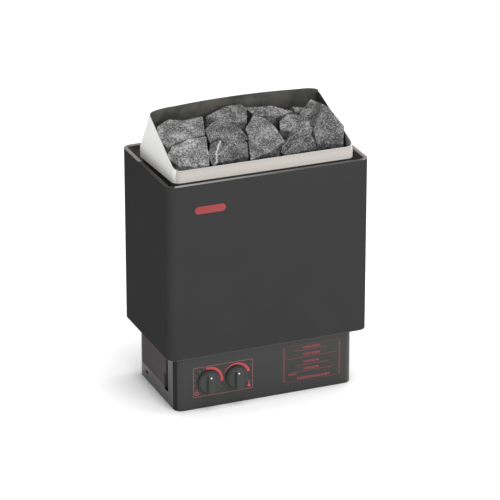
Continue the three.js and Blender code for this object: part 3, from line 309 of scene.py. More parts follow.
@dataclass(frozen=True)
class Moulded(Finish):
    """Moulded plastic, rubber or fired clay: one colour with the fine grain of its mould."""

    grain_mm: float = 1.2
    grain: float = 0.15
    specular: float = 0.4

    def build(self) -> bpy.types.Material:
        """Returns the finished material."""
        material, shader, place = self.begin()
        tree = material.node_tree
        grain = add_node(tree, "ShaderNodeTexNoise", {"Scale": per_metre(self.grain_mm), "Detail": 4.0}, {"Vector": place})
        base = Vector(linear(self.colour)[:3])
        tone = add_node(
            tree, "ShaderNodeMix",
            {"data_type": "RGBA", 6: (*(base * 0.88), 1.0), 7: (*(base * 1.12), 1.0)},
            {0: grain.outputs["Fac"]},
        )
        bump = add_node(
            tree, "ShaderNodeBump", {"Strength": self.grain, "Distance": 0.1 * MM}, {"Height": grain.outputs["Fac"]},
        )
        shader.inputs["Specular IOR Level"].default_value = self.specular
        tree.links.new(tone.outputs[2], shader.inputs["Base Color"])
        tree.links.new(bump.outputs["Normal"], shader.inputs["Normal"])
        return material


@dataclass(frozen=True)
class Vein:
    """A thin band through the stone, a quartz vein when pale and a painted shadow when dark: the plane that it fills in
    the stone, its width and how far it wanders.
    """

    normal: tuple[float, float, float]
    place_mm: float
    width_mm: float
    strength: float = 0.22
    colour: str = "#bcbbb7"
    wander_mm: float = 16.0

    def build(
        self, tree: bpy.types.NodeTree, place: bpy.types.NodeSocket, noise: bpy.types.NodeSocket,
    ) -> bpy.types.NodeSocket:
        """Adds the vein to a stone's nodes.

        Args:
            tree: the stone's node tree.
            place: its Object coordinates.
            noise: a noise that the vein wanders with.

        Returns:
            How far the vein covers the stone, from nought to one.
        """
        along = add_node(
            tree, "ShaderNodeVectorMath", {"operation": "DOT_PRODUCT", 1: self.normal}, {0: place},
        )
        off = add_node(
            tree, "ShaderNodeMath", {"operation": "MULTIPLY_ADD", 1: self.wander_mm * MM}, {0: noise, 2: along.outputs["Value"]},
        )
        gap = add_node(
            tree, "ShaderNodeMath",
            {"operation": "SUBTRACT", 1: (self.place_mm + self.wander_mm / 2) * MM}, {0: off.outputs["Value"]},
        )
        distance = add_node(tree, "ShaderNodeMath", {"operation": "ABSOLUTE"}, {0: gap.outputs["Value"]})
        return add_node(
            tree, "ShaderNodeMapRange",
            {"From Min": self.width_mm / 2 * MM, "From Max": self.width_mm * 0.2 * MM, "To Max": self.strength},
            {"Value": distance.outputs["Value"]},
        ).outputs["Result"]


@dataclass(frozen=True)
class Diabase(Finish):
    """Broken diabase: grey crystals with pale flecks and dark grains, pale dusting and a painted highlight on its
    ridges, and painted light on the faces that look up and to the left.
    """

    pale: str = "#787878"
    dark: str = "#212121"
    fleck: str = "#b4b4b4"
    ridge_dust_and_highlight: str = "#9f9f9f"
    cloud_mm: float = 24.0
    crystal_mm: float = 4.4  # real grains are 1 to 2 mm, too fine to show
    fleck_mm: float = 2.2
    painted_lit_side: tuple[float, float, float] = (-0.55, -0.25, 0.8)  # painted light: faces that look this way are painted paler and the others darker
    veins: tuple["Vein", ...] = ()

    def build(self) -> bpy.types.Material:
        """Returns the finished material."""
        material, shader, place = self.begin()
        tree = material.node_tree
        cloud = add_node(
            tree, "ShaderNodeTexNoise", {"Scale": per_metre(self.cloud_mm), "Detail": 5.0, "Roughness": 0.6}, {"Vector": place},
        )
        cloudy = add_node(tree, "ShaderNodeMapRange", {"From Min": 0.42, "From Max": 0.6}, {"Value": cloud.outputs["Fac"]})
        body = add_node(
            tree, "ShaderNodeMix",
            {"data_type": "RGBA", 6: linear(self.colour), 7: linear(self.pale)},
            {0: cloudy.outputs["Result"]},
        )
        crystal = add_node(
            tree, "ShaderNodeTexNoise", {"Scale": per_metre(self.crystal_mm), "Detail": 6.0, "Roughness": 0.7}, {"Vector": place},
        )
        grains = add_node(
            tree, "ShaderNodeMapRange", {"From Min": 0.56, "From Max": 0.38, "To Max": 0.85}, {"Value": crystal.outputs["Fac"]},
        )
        speckled = add_node(
            tree, "ShaderNodeMix",
            {"data_type": "RGBA", 7: linear(self.dark)},
            {0: grains.outputs["Result"], 6: body.outputs[2]},
        )
        flecks = add_node(
            tree, "ShaderNodeTexNoise", {"Scale": per_metre(self.fleck_mm), "Detail": 4.0, "Roughness": 0.75}, {"Vector": place},
        )
        bright = add_node(
            tree, "ShaderNodeMapRange", {"From Min": 0.54, "From Max": 0.66, "To Max": 0.66}, {"Value": flecks.outputs["Fac"]},
        )
        flecked = add_node(
            tree, "ShaderNodeMix",
            {"data_type": "RGBA", 7: linear(self.fleck)},
            {0: bright.outputs["Result"], 6: speckled.outputs[2]},
        )
        edge = add_node(tree, "ShaderNodeNewGeometry")
        # pale dusting and a painted highlight on the ridges, where the mesh is pointed
        ridge_share = add_node(
            tree, "ShaderNodeMapRange", {"From Min": 0.52, "From Max": 0.62, "To Max": 0.55}, {"Value": edge.outputs["Pointiness"]},
        )
        surface = add_node(
            tree, "ShaderNodeMix",
            {"data_type": "RGBA", 7: linear(self.ridge_dust_and_highlight)},
            {0: ridge_share.outputs["Result"], 6: flecked.outputs[2]},
        ).outputs[2]
        # painted light: each face is made paler or darker by how far it looks towards the light
        toward_light = add_node(
            tree, "ShaderNodeVectorMath", {"operation": "DOT_PRODUCT", 1: self.painted_lit_side}, {0: edge.outputs["Normal"]},
        )
        painted_facet_light = add_node(
            tree, "ShaderNodeMapRange",
            {"From Min": 0.1, "From Max": 0.95, "To Min": 0.7, "To Max": 1.09},
            {"Value": toward_light.outputs["Value"]},
        )
        surface = add_node(
            tree, "ShaderNodeVectorMath", {"operation": "SCALE"}, {"Vector": surface, "Scale": painted_facet_light.outputs["Result"]},
        ).outputs["Vector"]
        for vein in self.veins:
            strength = vein.build(tree, place, cloud.outputs["Fac"])
            surface = add_node(
                tree, "ShaderNodeMix", {"data_type": "RGBA", 7: linear(vein.colour)}, {0: strength, 6: surface},
            ).outputs[2]
        height = add_node(
            tree, "ShaderNodeMath", {"operation": "ADD"}, {0: crystal.outputs["Fac"], 1: cloud.outputs["Fac"]},
        )
        bump = add_node(tree, "ShaderNodeBump", {"Strength": 0.5, "Distance": 1.0 * MM}, {"Height": height.outputs["Value"]})
        shader.inputs["Specular IOR Level"].default_value = 0.25
        tree.links.new(surface, shader.inputs["Base Color"])
        tree.links.new(bump.outputs["Normal"], shader.inputs["Normal"])
        return material


FINISHES: tuple[Finish, ...] = (
    PowderCoat("jacket_powder_coat", "casing_paint", "#373737", 0.6, specular=0.0),
    # glossier and painted paler: a painted highlight along the folded edges
    PowderCoat("polished_painted_highlight_coat", "casing_paint", "#6a6a6a", 0.25, specular=0.6),
    # the front rim: a painted highlight near the left corner, fading to a dark coat towards the right
    PowderCoat("front_rim_painted_highlight_coat", "casing_paint", "#7f7f7f", 0.3, specular=0.3, highlight_fade=(-180.0, 70.0, "#343434")),
    # a pale coat inside the casing: painted fill light in the shaded gap round the collar
    PowderCoat("inside_painted_fill_coat", "casing_paint", "#857f79", 0.7, specular=0.0),
    PowderCoat("base_powder_coat", "casing_paint", "#303030", 0.3, specular=0.32),
    PowderCoat("thin_powder_coat", "casing_paint", "#323232", 0.6, specular=0.0),
    PowderCoat("plate_lacquer", "casing_paint", "#5a5556", 0.6, specular=0.0),
    BrushedSteel("brushed_stainless", "stainless", "#e6e5e4", 0.42, metallic=0.7),
    # the strip and the side plates are one steel: the side faces are painted paler and the strip darker, lit and shaded
    # copies, and both are painted paler towards their lower edge against the rim's shade
    BrushedSteel("side_brushed_painted_bright_stainless", "stainless", "#f6f6f5", 0.5, metallic=0.05, painted_lift=(466.0, 500.0, 1.13)),
    BrushedSteel("cross_brushed_painted_dim_stainless", "stainless", "#b7b1ac", 0.55, metallic=0.1, painted_lift=(467.0, 489.0, 1.7)),
    # the sheet's cut edges that face up, painted darker: painted shade against the overhead light
    BrushedSteel("ground_edge_painted_dim_stainless", "stainless", "#827f7b", 0.5, metallic=0.3),
    PatchyMetal("dark_patchy_inner_stainless", "stainless", "#505050", 0.5, second="#71706a", patch_mm=34.0, metallic=0.2),
    PatchyMetal("scaled_steel", "dark_steel", "#3d3b39", 0.55, second="#5a5652", patch_mm=12.0, metallic=0.8),
    PatchyMetal("tempered_steel", "dark_steel", "#3b3936", 0.6, second="#4c4945", patch_mm=20.0, metallic=0.2),
    PatchyMetal("element_sheath_steel", "element_sheath", "#4a4846", 0.5, second="#6b665f", patch_mm=8.0, metallic=0.8),
    PatchyMetal("cast_brass", "brass", "#b89a52", 0.38, second="#9c8040", patch_mm=5.0),
    PatchyMetal("bare_copper", "copper", "#b87350", 0.36, second="#96583c", patch_mm=6.0),
    ZincSpangle("galvanised_sheet", "zinc_plate", "#a9adb0", 0.42),
    Moulded("knob_moulding", "knob_plastic", "#404141", 0.5, specular=0.1),
    # paler knob plastic for the skirt's sides: painted light
    Moulded("skirt_painted_light_moulding", "knob_plastic", "#595a5a", 0.6, specular=0.1),
    Moulded("phenolic_moulding", "phenolic", "#2a2522", 0.5),
    Moulded("fired_steatite", "ceramic", "#e6e2d8", 0.6, grain_mm=2.0),
    Moulded("nylon_moulding", "nylon", "#222222", 0.45),
    Moulded("silicone_sleeve", "silicone", "#7a2c22", 0.55),
    Moulded("red_button_moulding", "red_plastic", "#b3312b", 0.35),
    Moulded("red_screen_ink", "print_red", "#bd464d", 0.5, grain_mm=1.6, grain=0.05),
    Moulded("pale_red_ink", "print_red", "#825452", 0.5, grain_mm=1.6, grain=0.05),
    Moulded("thin_red_ink", "print_red", "#7c3438", 0.5, grain_mm=1.6, grain=0.05),
    Moulded("dull_red_ink", "print_red", "#5e3332", 0.5, grain_mm=1.6, grain=0.05),
    Moulded("badge_enamel", "print_red", "#8d2d30", 0.4, grain_mm=2.0, grain=0.05),
    Moulded("white_ink", "print_white", "#d8d8d6", 0.5, grain_mm=1.6, grain=0.05),
    Diabase("grey_diabase", "stone", "#444444", 0.86),
    Diabase("dull_diabase", "stone", "#393939", 0.86, pale="#686868"),
    Diabase("worn_diabase", "stone", "#484848", 0.86, pale="#7a7a7a"),
    Diabase("pale_diabase", "stone", "#4e4e4e", 0.86, pale="#868686", fleck="#c6c6c6"),
    Diabase("light_diabase", "stone", "#636363", 0.86, pale="#9b9b9b", fleck="#d0d0d0"),
    Diabase("streaked_diabase", "stone", "#343434", 0.86, pale="#5c5c5c", veins=(
        Vein((0.884, -0.428, -0.187), -139.3, 5.5, 0.6), Vein((-0.502, 0.491, 0.712), 364.4, 2.0),
    )),
    Diabase("lined_diabase", "stone", "#2f2f2f", 0.86, pale="#555555", veins=(
        Vein((-0.556, 0.506, 0.659), 264.9, 2.2), Vein((-0.470, 0.500, 0.727), 290.7, 2.2),
    )),
    Diabase("shaded_diabase", "stone", "#444444", 0.86, veins=(
        # a dark band: painted shadow of the crevice beside the middle right stone
        Vein((-0.75, 0.0, 0.66), 249.0, 10.0, 0.7, colour="#1c1c1d", wander_mm=4.0),
    )),
)


class Palette:
    """Makes each finish once and gives it out by name."""

    def __init__(self, finishes: Sequence[Finish]) -> None:
        """Keeps the finishes by name.

        Args:
            finishes: every finish of the object.
        """
        self.finishes = {finish.name: finish for finish in finishes}
        self.made: dict[str, bpy.types.Material] = {}

    def material(self, name: str) -> bpy.types.Material:
        """Returns the material of a finish, made at its first use."""
        if name not in self.made:
            self.made[name] = self.finishes[name].build()
        return self.made[name]

    def dress(self, piece: bpy.types.Object, name: str, body: str, stands_for: Sequence[str] = ()) -> None:
        """Gives a new piece its finish and the body that it rides on.

        Args:
            piece: the finished piece.
            name: the finish; a piece that has its own materials already keeps them.
            body: the body it rides on.
            stands_for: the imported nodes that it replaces.
        """
        if not piece.data.materials:
            piece.data.materials.append(self.material(name))
        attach(piece, body)
        if stands_for:
            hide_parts(*stands_for)
        LOG.info("%s: %d faces, %s, rides on %s", piece.name, len(piece.data.polygons), name, body)

    def repaint(self, node: str, name: str) -> None:
        """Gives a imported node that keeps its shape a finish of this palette."""
        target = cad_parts[node]
        for place in target.material_slots:
            place.material = self.material(name)
        LOG.info("%s: kept, %s", node, name)


def clear_selection() -> None:
    """Leaves nothing selected, in object mode."""
    if bpy.context.mode != "OBJECT":
        bpy.ops.object.mode_set(mode="OBJECT")
    bpy.ops.object.select_all(action="DESELECT")


def activate(piece: bpy.types.Object) -> None:
    """Makes one piece the only one that is selected."""
    clear_selection()
    piece.select_set(True)
    bpy.context.view_layer.objects.active = piece


@contextmanager
def editing(piece: bpy.types.Object) -> Iterator[None]:
    """Holds a piece in edit mode for a while."""
    activate(piece)
    bpy.ops.object.mode_set(mode="EDIT")
    yield
    bpy.ops.object.mode_set(mode="OBJECT")


def pick(piece: bpy.types.Object, kind: Kind, test: Callable[[Any], bool]) -> int:
    """Selects the parts of a mesh in edit mode that pass a test.

    Args:
        piece: the piece in edit mode.
        kind: whether vertices, edges or faces are tested.
        test: says whether one of them is selected.

    Returns:
        How many were selected.
    """
    bpy.ops.mesh.select_all(action="DESELECT")
    bpy.ops.mesh.select_mode(type=kind.value)
    mesh = bmesh.from_edit_mesh(piece.data)
    every = {Kind.VERTEX: mesh.verts, Kind.EDGE: mesh.edges, Kind.FACE: mesh.faces}[kind]
    chosen = [part for part in every if test(part)]
    for part in chosen:
        part.select_set(True)
    mesh.select_flush_mode()
    bmesh.update_edit_mesh(piece.data)
    return len(chosen)


def settle(name: str) -> bpy.types.Object:
    """Names the active piece and moves its place, turn and size into its mesh."""
    piece = bpy.context.active_object
    piece.name = name
    piece.data.name = name
    bpy.ops.object.transform_apply(location=True, rotation=True, scale=True)
    return piece


def block(name: str, low: Sequence[float], high: Sequence[float]) -> bpy.types.Object:
    """Adds a box.

    Args:
        name: its name.
        low: its lowest corner in millimetres.
        high: its highest corner in millimetres.

    Returns:
        The box, to be shaped further.
    """
    clear_selection()
    middle = [(a + b) / 2 * MM for a, b in zip(low, high)]
    bpy.ops.mesh.primitive_cube_add(size=1, location=middle)
    bpy.context.active_object.scale = [(b - a) * MM for a, b in zip(low, high)]
    return settle(name)


def drum(name: str, middle: Sequence[float], radius: float, length: float, sides: int = 48) -> bpy.types.Object:
    """Adds a cylinder along Y.

    Args:
        name: its name.
        middle: its middle in millimetres.
        radius: in millimetres.
        length: along Y in millimetres.
        sides: how many flat sides stand for its round.

    Returns:
        The cylinder, to be shaped further.
    """
    clear_selection()
    bpy.ops.mesh.primitive_cylinder_add(
        vertices=sides, radius=radius * MM, depth=length * MM,
        location=[v * MM for v in middle], rotation=(math.pi / 2, 0, 0),
    )
    return settle(name)


def modify(piece: bpy.types.Object, kind: str, **settings: Any) -> None:
    """Adds a modifier with its settings and applies it."""
    activate(piece)
    modifier = piece.modifiers.new(kind.lower(), kind)
    for key, value in settings.items():
        setattr(modifier, key, value)
    bpy.ops.object.modifier_apply(modifier=modifier.name)


def combine(piece: bpy.types.Object, tool: bpy.types.Object, how: Combine) -> None:
    """Cuts a piece with a tool, or joins or keeps what they share, and removes the tool."""
    modify(piece, "BOOLEAN", object=tool, operation=how.value, solver="EXACT")
    bpy.data.objects.remove(tool)


def slice_off(piece: bpy.types.Object, point: Sequence[float], normal: Sequence[float], fill: bool = True) -> None:
    """Cuts away what lies on the side of a plane that its normal points to.

    Args:
        piece: the piece to cut.
        point: a point of the plane in millimetres.
        normal: the plane's normal.
        fill: whether the cut is closed.
    """
    with editing(piece):
        bpy.ops.mesh.select_all(action="SELECT")
        bpy.ops.mesh.bisect(
            plane_co=[v * MM for v in point], plane_no=normal, use_fill=fill, clear_outer=True,
        )


def join(pieces: Sequence[bpy.types.Object]) -> bpy.types.Object:
    """Returns the first piece with all the others joined into it."""
    activate(pieces[0])
    for piece in pieces:
        piece.select_set(True)
    if len(pieces) > 1:
        bpy.ops.object.join()
    return pieces[0]


def soften(piece: bpy.types.Object, width: float, angle: float = 50.0, segments: int = 2) -> None:
    """Breaks the sharp edges of a piece and shades it smooth between them.

    Args:
        piece: the piece.
        width: of the broken edge in millimetres.
        angle: edges sharper than this, in degrees, are broken.
        segments: of the round.
    """
    modify(
        piece, "BEVEL", width=width * MM, segments=segments, limit_method="ANGLE",
        angle_limit=math.radians(angle), harden_normals=False,
    )
    shade(piece)


def shade(piece: bpy.types.Object, angle: float = 32.0) -> None:
    """Shades a piece smooth where its faces meet at less than an angle in degrees."""
    activate(piece)
    bpy.ops.object.shade_smooth_by_angle(angle=math.radians(angle))


def carried_over(node: str, name: str) -> bpy.types.Object:
    """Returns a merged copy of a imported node's shape as a new piece."""
    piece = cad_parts[node].copy()
    piece.data = piece.data.copy()
    for key in list(piece.keys()):
        del piece[key]
    piece.parent = None
    piece.name = name
    piece.data.name = name
    piece.data.materials.clear()
    bpy.context.scene.collection.objects.link(piece)
    with editing(piece):
        bpy.ops.mesh.select_all(action="SELECT")
        bpy.ops.mesh.remove_doubles(threshold=0.01 * MM)
        bpy.ops.mesh.tris_convert_to_quads(face_threshold=math.radians(1), shape_threshold=math.radians(180))
    return piece


@dataclass(frozen=True)
class Ring:
    """A rectangular station of a folded sheet: half width, front, back and level in millimetres."""

    half: float
    front: float
    back: float
    level: float

    def inside(self, wall: float, front_wall: float | None = None, back_wall: float | None = None) -> "Ring":
        """Returns the station on the other face of the sheet."""
        front = wall if front_wall is None else front_wall
        back = wall if back_wall is None else back_wall
        return Ring(self.half - wall, self.front + front, self.back - back, self.level)

    def at(self, level: float) -> "Ring":
        """Returns the same station at another level."""
        return Ring(self.half, self.front, self.back, level)


def folded_tube(name: str, rings: Sequence[Ring]) -> bpy.types.Object:
    """Draws a rectangular sheet tube through its stations and back to the first.

    Args:
        name: its name.
        rings: the stations, up the outside and down the inside.

    Returns:
        The closed tube with sharp corners.
    """
    first = rings[0]
    clear_selection()
    bpy.ops.mesh.primitive_plane_add(size=1, location=(0, (first.front + first.back) / 2 * MM, first.level * MM))
    bpy.context.active_object.scale = (2 * first.half * MM, (first.back - first.front) * MM, 1)
    piece = settle(name)
    with editing(piece):
        bpy.ops.mesh.select_all(action="SELECT")
        bpy.ops.mesh.delete(type="ONLY_FACE")
        bpy.ops.mesh.select_all(action="SELECT")
        for before, after in zip(rings, [*rings[1:], first]):
            old = Vector((0, (before.front + before.back) / 2, before.level)) * MM
            new = Vector((0, (after.front + after.back) / 2, after.level)) * MM
            bpy.ops.mesh.extrude_region_move(TRANSFORM_OT_translate={"value": new - old})
            stretch = (after.half / before.half, (after.back - after.front) / (before.back - before.front), 1)
            bpy.ops.transform.resize(value=stretch, center_override=new)
        bpy.ops.mesh.select_all(action="SELECT")
        bpy.ops.mesh.remove_doubles(threshold=0.001 * MM)
        bpy.ops.mesh.normals_make_consistent(inside=False)
    return piece


def round_corners(piece: bpy.types.Object, radius: float, front: bool, segments: int = 12) -> None:
    """Rounds the two upright corners at the front or at the back of a folded tube.

    Args:
        piece: the tube.
        radius: in millimetres.
        front: whether the front ones are rounded.
        segments: of the round.
    """
    def upright(edge: Any) -> bool:
        a, b = (vertex.co for vertex in edge.verts)
        same_corner = a.x * b.x > 0 and a.y * b.y > 0
        return same_corner and (a.y < 0) == front

    with editing(piece):
        pick(piece, Kind.EDGE, upright)
        bpy.ops.mesh.bevel(offset=radius * MM, segments=segments, profile=0.5, affect="EDGES")


@dataclass
class Jacket:
    """The outer casing: a painted tube whose upper and lower edges are folded in."""

    half: float = 205.0
    depth: float = 246.0
    bottom: float = 118.0
    top: float = 469.0
    radius: float = 16.0
    sheet: float = 1.5
    hem: float = 8.0
    rim_width: float = 7.5
    rim_fold: float = 3.0
    # in mm along Y; in front of this the left rim has no painted highlight
    rim_highlight_from: float = 30.0
    rack_half: float = 121.0
    slot: tuple[float, float] = (389.0, 409.3)

    def build(self, palette: Palette) -> None:
        """Builds and dresses the casing."""
        outer = Ring(self.half, -self.depth / 2, self.depth / 2, self.bottom)
        fold = outer.inside(2 * self.sheet)
        wall = outer.inside(self.sheet)
        lip = outer.inside(2 * self.rim_width)
        tube = folded_tube("casing_jacket", [
            outer, outer.at(self.top), lip.at(self.top), lip.at(self.top - self.rim_fold),
            wall.at(self.top - self.rim_fold), wall.at(self.bottom + self.hem),
            fold.at(self.bottom + self.hem), fold,
        ])
        for front in (True, False):
            round_corners(tube, self.radius, front)
        combine(tube, self.rim_opening(), Combine.CUT)
        soften(tube, 0.9, segments=3)
        for side in (-1, 1):
            middle = side * (self.rack_half - 1)
            combine(tube, block(
                "hook_slot", (middle - 2, self.depth / 2 - 6, self.slot[0]), (middle + 2, self.depth / 2 + 6, self.slot[1]),
            ), Combine.CUT)
        with editing(tube):
            bpy.ops.mesh.select_all(action="SELECT")
            bpy.ops.mesh.bisect(plane_co=(0, self.rim_highlight_from * MM, 0), plane_no=(0, 1, 0))
        shade(tube)
        self.paint_rim_and_inside_light(tube, palette)
        palette.dress(tube, "jacket_powder_coat", "heater", ["outer_casing"])
        self.badge(palette)

    def rim_opening(self) -> bpy.types.Object:
        """Returns the tool that leaves the upper edge as a narrow flange with round corners."""
        half, depth = self.half - self.rim_width, self.depth / 2 - self.rim_width
        tool = block("rim_opening", (-half, -depth, self.top - 20), (half, depth, self.top + 20))
        with editing(tool):
            pick(tool, Kind.EDGE, lambda edge: abs(edge.verts[0].co.z - edge.verts[1].co.z) > MM)
            bpy.ops.mesh.bevel(offset=(self.radius - self.rim_width) * MM, segments=12, affect="EDGES")
        return tool

    def paint_rim_and_inside_light(self, tube: bpy.types.Object, palette: Palette) -> None:
        """Gives the folded edges a glossier coat painted paler, a painted highlight; the front rim a painted highlight
        that fades along it; and the inside a pale coat, painted fill light.
        """
        for name in ("jacket_powder_coat", "polished_painted_highlight_coat", "inside_painted_fill_coat", "front_rim_painted_highlight_coat"):
            tube.data.materials.append(palette.material(name))
        reach = 1.0 * MM
        straight = (self.half - self.radius) * MM
        for face in tube.data.polygons:
            x, y, level = face.center
            # the left rim in front of a given Y keeps the plain coat; the other upper edges and the lower edges get the
            # painted highlight
            dull = x < (self.radius - self.half) * MM and y < self.rim_highlight_from * MM
            edge = (level > self.top * MM - reach and not dull) or level < self.bottom * MM + reach
            # the inside faces get the pale coat, painted fill light
            inside = face.normal.x * face.center.x + face.normal.y * face.center.y < -0.02
            front = level > self.top * MM - reach and y < (self.radius - self.depth / 2) * MM and abs(x) < straight
            face.material_index = 3 if front else 1 if edge else 2 if inside else 0

    def badge(self, palette: Palette) -> None:
        """Builds the blank red badge on the front."""
        face = -self.depth / 2
        plate = block("blank_badge", (-151, face - 0.9, 409.5), (-89, face - 0.1, 424.5))
        with editing(plate):
            pick(plate, Kind.EDGE, lambda edge: abs(edge.verts[0].co.y - edge.verts[1].co.y) > 0.5 * MM)
            bpy.ops.mesh.bevel(offset=7 * MM, segments=8, affect="EDGES")
        soften(plate, 0.3)
        palette.dress(plate, "badge_enamel", "heater")


@dataclass
class BaseHousing:
    """The painted base below the casing, with its side slots, shaft holes, cable inlet and side plate."""

    half: float = 183.0
    front: float = -100.0
    back: float = 100.0
    top: float = 150.0
    radius: float = 14.0
    sheet: float = 1.5
    slot_front: float = -58.5
    slot_width: float = 11.0
    slot_top: float = 126.0
    slot_foot: float = 24.0
    foot_width: float = 21.0
    foot_top: float = 57.0
    foot_radius: float = 5.0
    fold: float = 13.0

    def build(self, palette: Palette) -> None:
        """Builds and dresses the housing and the blank plate on its side."""
        outer = Ring(self.half, self.front, self.back, 0.0)
        tube = folded_tube("base_shell", [
            outer, outer.at(self.top), outer.inside(self.sheet).at(self.top), outer.inside(self.sheet),
        ])
        for front in (True, False):
            round_corners(tube, self.radius, front)
        soften(tube, 0.4)
        combine(tube, self.tall_slot(), Combine.CUT)
        combine(tube, self.small_slot(), Combine.CUT)
        for x in (-115.5, -58.5):
            combine(tube, drum("shaft_hole", (x, self.front, 54), 4, 12, 24), Combine.CUT)
        combine(tube, drum("gland_hole", (110, self.back, 70), 10.3, 12, 32), Combine.CUT)
        self.fold_slot(tube)
        shade(tube)
        self.dull_bends(tube, palette)
        palette.dress(tube, "base_powder_coat", "heater", ["base_housing"])
        self.side_plate(palette)

    def dull_bends(self, tube: bpy.types.Object, palette: Palette) -> None:
        """Gives the side half of the front bends, where the coat runs thin, a duller look, and paints the fold paler:
        painted light on a face that lies in shade behind the slot.
        """
        for name in ("base_powder_coat", "thin_powder_coat", "plate_lacquer"):
            tube.data.materials.append(palette.material(name))
        for face in tube.data.polygons:
            bend = abs(face.normal.x) > 0.73 and -0.68 < face.normal.y < -0.03
            # painted light: the fold, in shade behind the slot, gets a paler colour
            fold = face.normal.y < -0.9 and face.center.x < (self.fold - self.half) * MM and face.center.y > self.slot_front * MM
            face.material_index = 2 if fold else int(bend)

    def tall_slot(self) -> bpy.types.Object:
        """Returns the tool for the tall slot, wide and round at its foot."""
        near, far = -self.half - 5, -self.half + 5
        tool = block(
            "tall_slot", (near, self.slot_front, self.slot_foot), (far, self.slot_front + self.foot_width, self.foot_top),
        )
        with editing(tool):
            pick(tool, Kind.EDGE, lambda edge: all(v.co.z < (self.slot_foot + 1) * MM for v in edge.verts)
                 and abs(edge.verts[0].co.x - edge.verts[1].co.x) > MM)
            bpy.ops.mesh.bevel(offset=self.foot_radius * MM, segments=6, affect="EDGES")
        combine(tool, block(
            "slot_neck", (near, self.slot_front, self.foot_top - 10), (far, self.slot_front + self.slot_width, self.slot_top),
        ), Combine.WELD)
        return tool

    def fold_slot(self, tube: bpy.types.Object) -> None:
        """Turns the rear edge of the tall slot inward, which is what shows through it."""
        wall = self.sheet - self.half
        for width, low, high in (
            (self.slot_width, self.foot_top, self.slot_top), (self.foot_width, self.slot_foot - 2, self.foot_top),
        ):
            edge = self.slot_front + width
            combine(tube, block("slot_fold", (wall - 0.3, edge, low), (wall + self.fold, edge + self.sheet, high)), Combine.WELD)

    def small_slot(self) -> bpy.types.Object:
        """Returns the tool for the small slot."""
        return block("small_slot", (-self.half - 5, 50.5, 15.5), (-self.half + 5, 65.5, 19.5))

    def side_plate(self, palette: Palette) -> None:
        """Builds the blank plate on the left side."""
        face = -self.half
        plate = block("blank_side_plate", (face - 0.35, self.slot_front + self.slot_width - 1, 30), (face - 0.05, 82, 112))
        with editing(plate):
            pick(plate, Kind.EDGE, lambda edge: abs(edge.verts[0].co.x - edge.verts[1].co.x) > 0.2 * MM)
            bpy.ops.mesh.bevel(offset=2 * MM, segments=4, affect="EDGES")
        combine(plate, self.tall_slot(), Combine.CUT)
        soften(plate, 0.1)
        palette.dress(plate, "plate_lacquer", "heater")


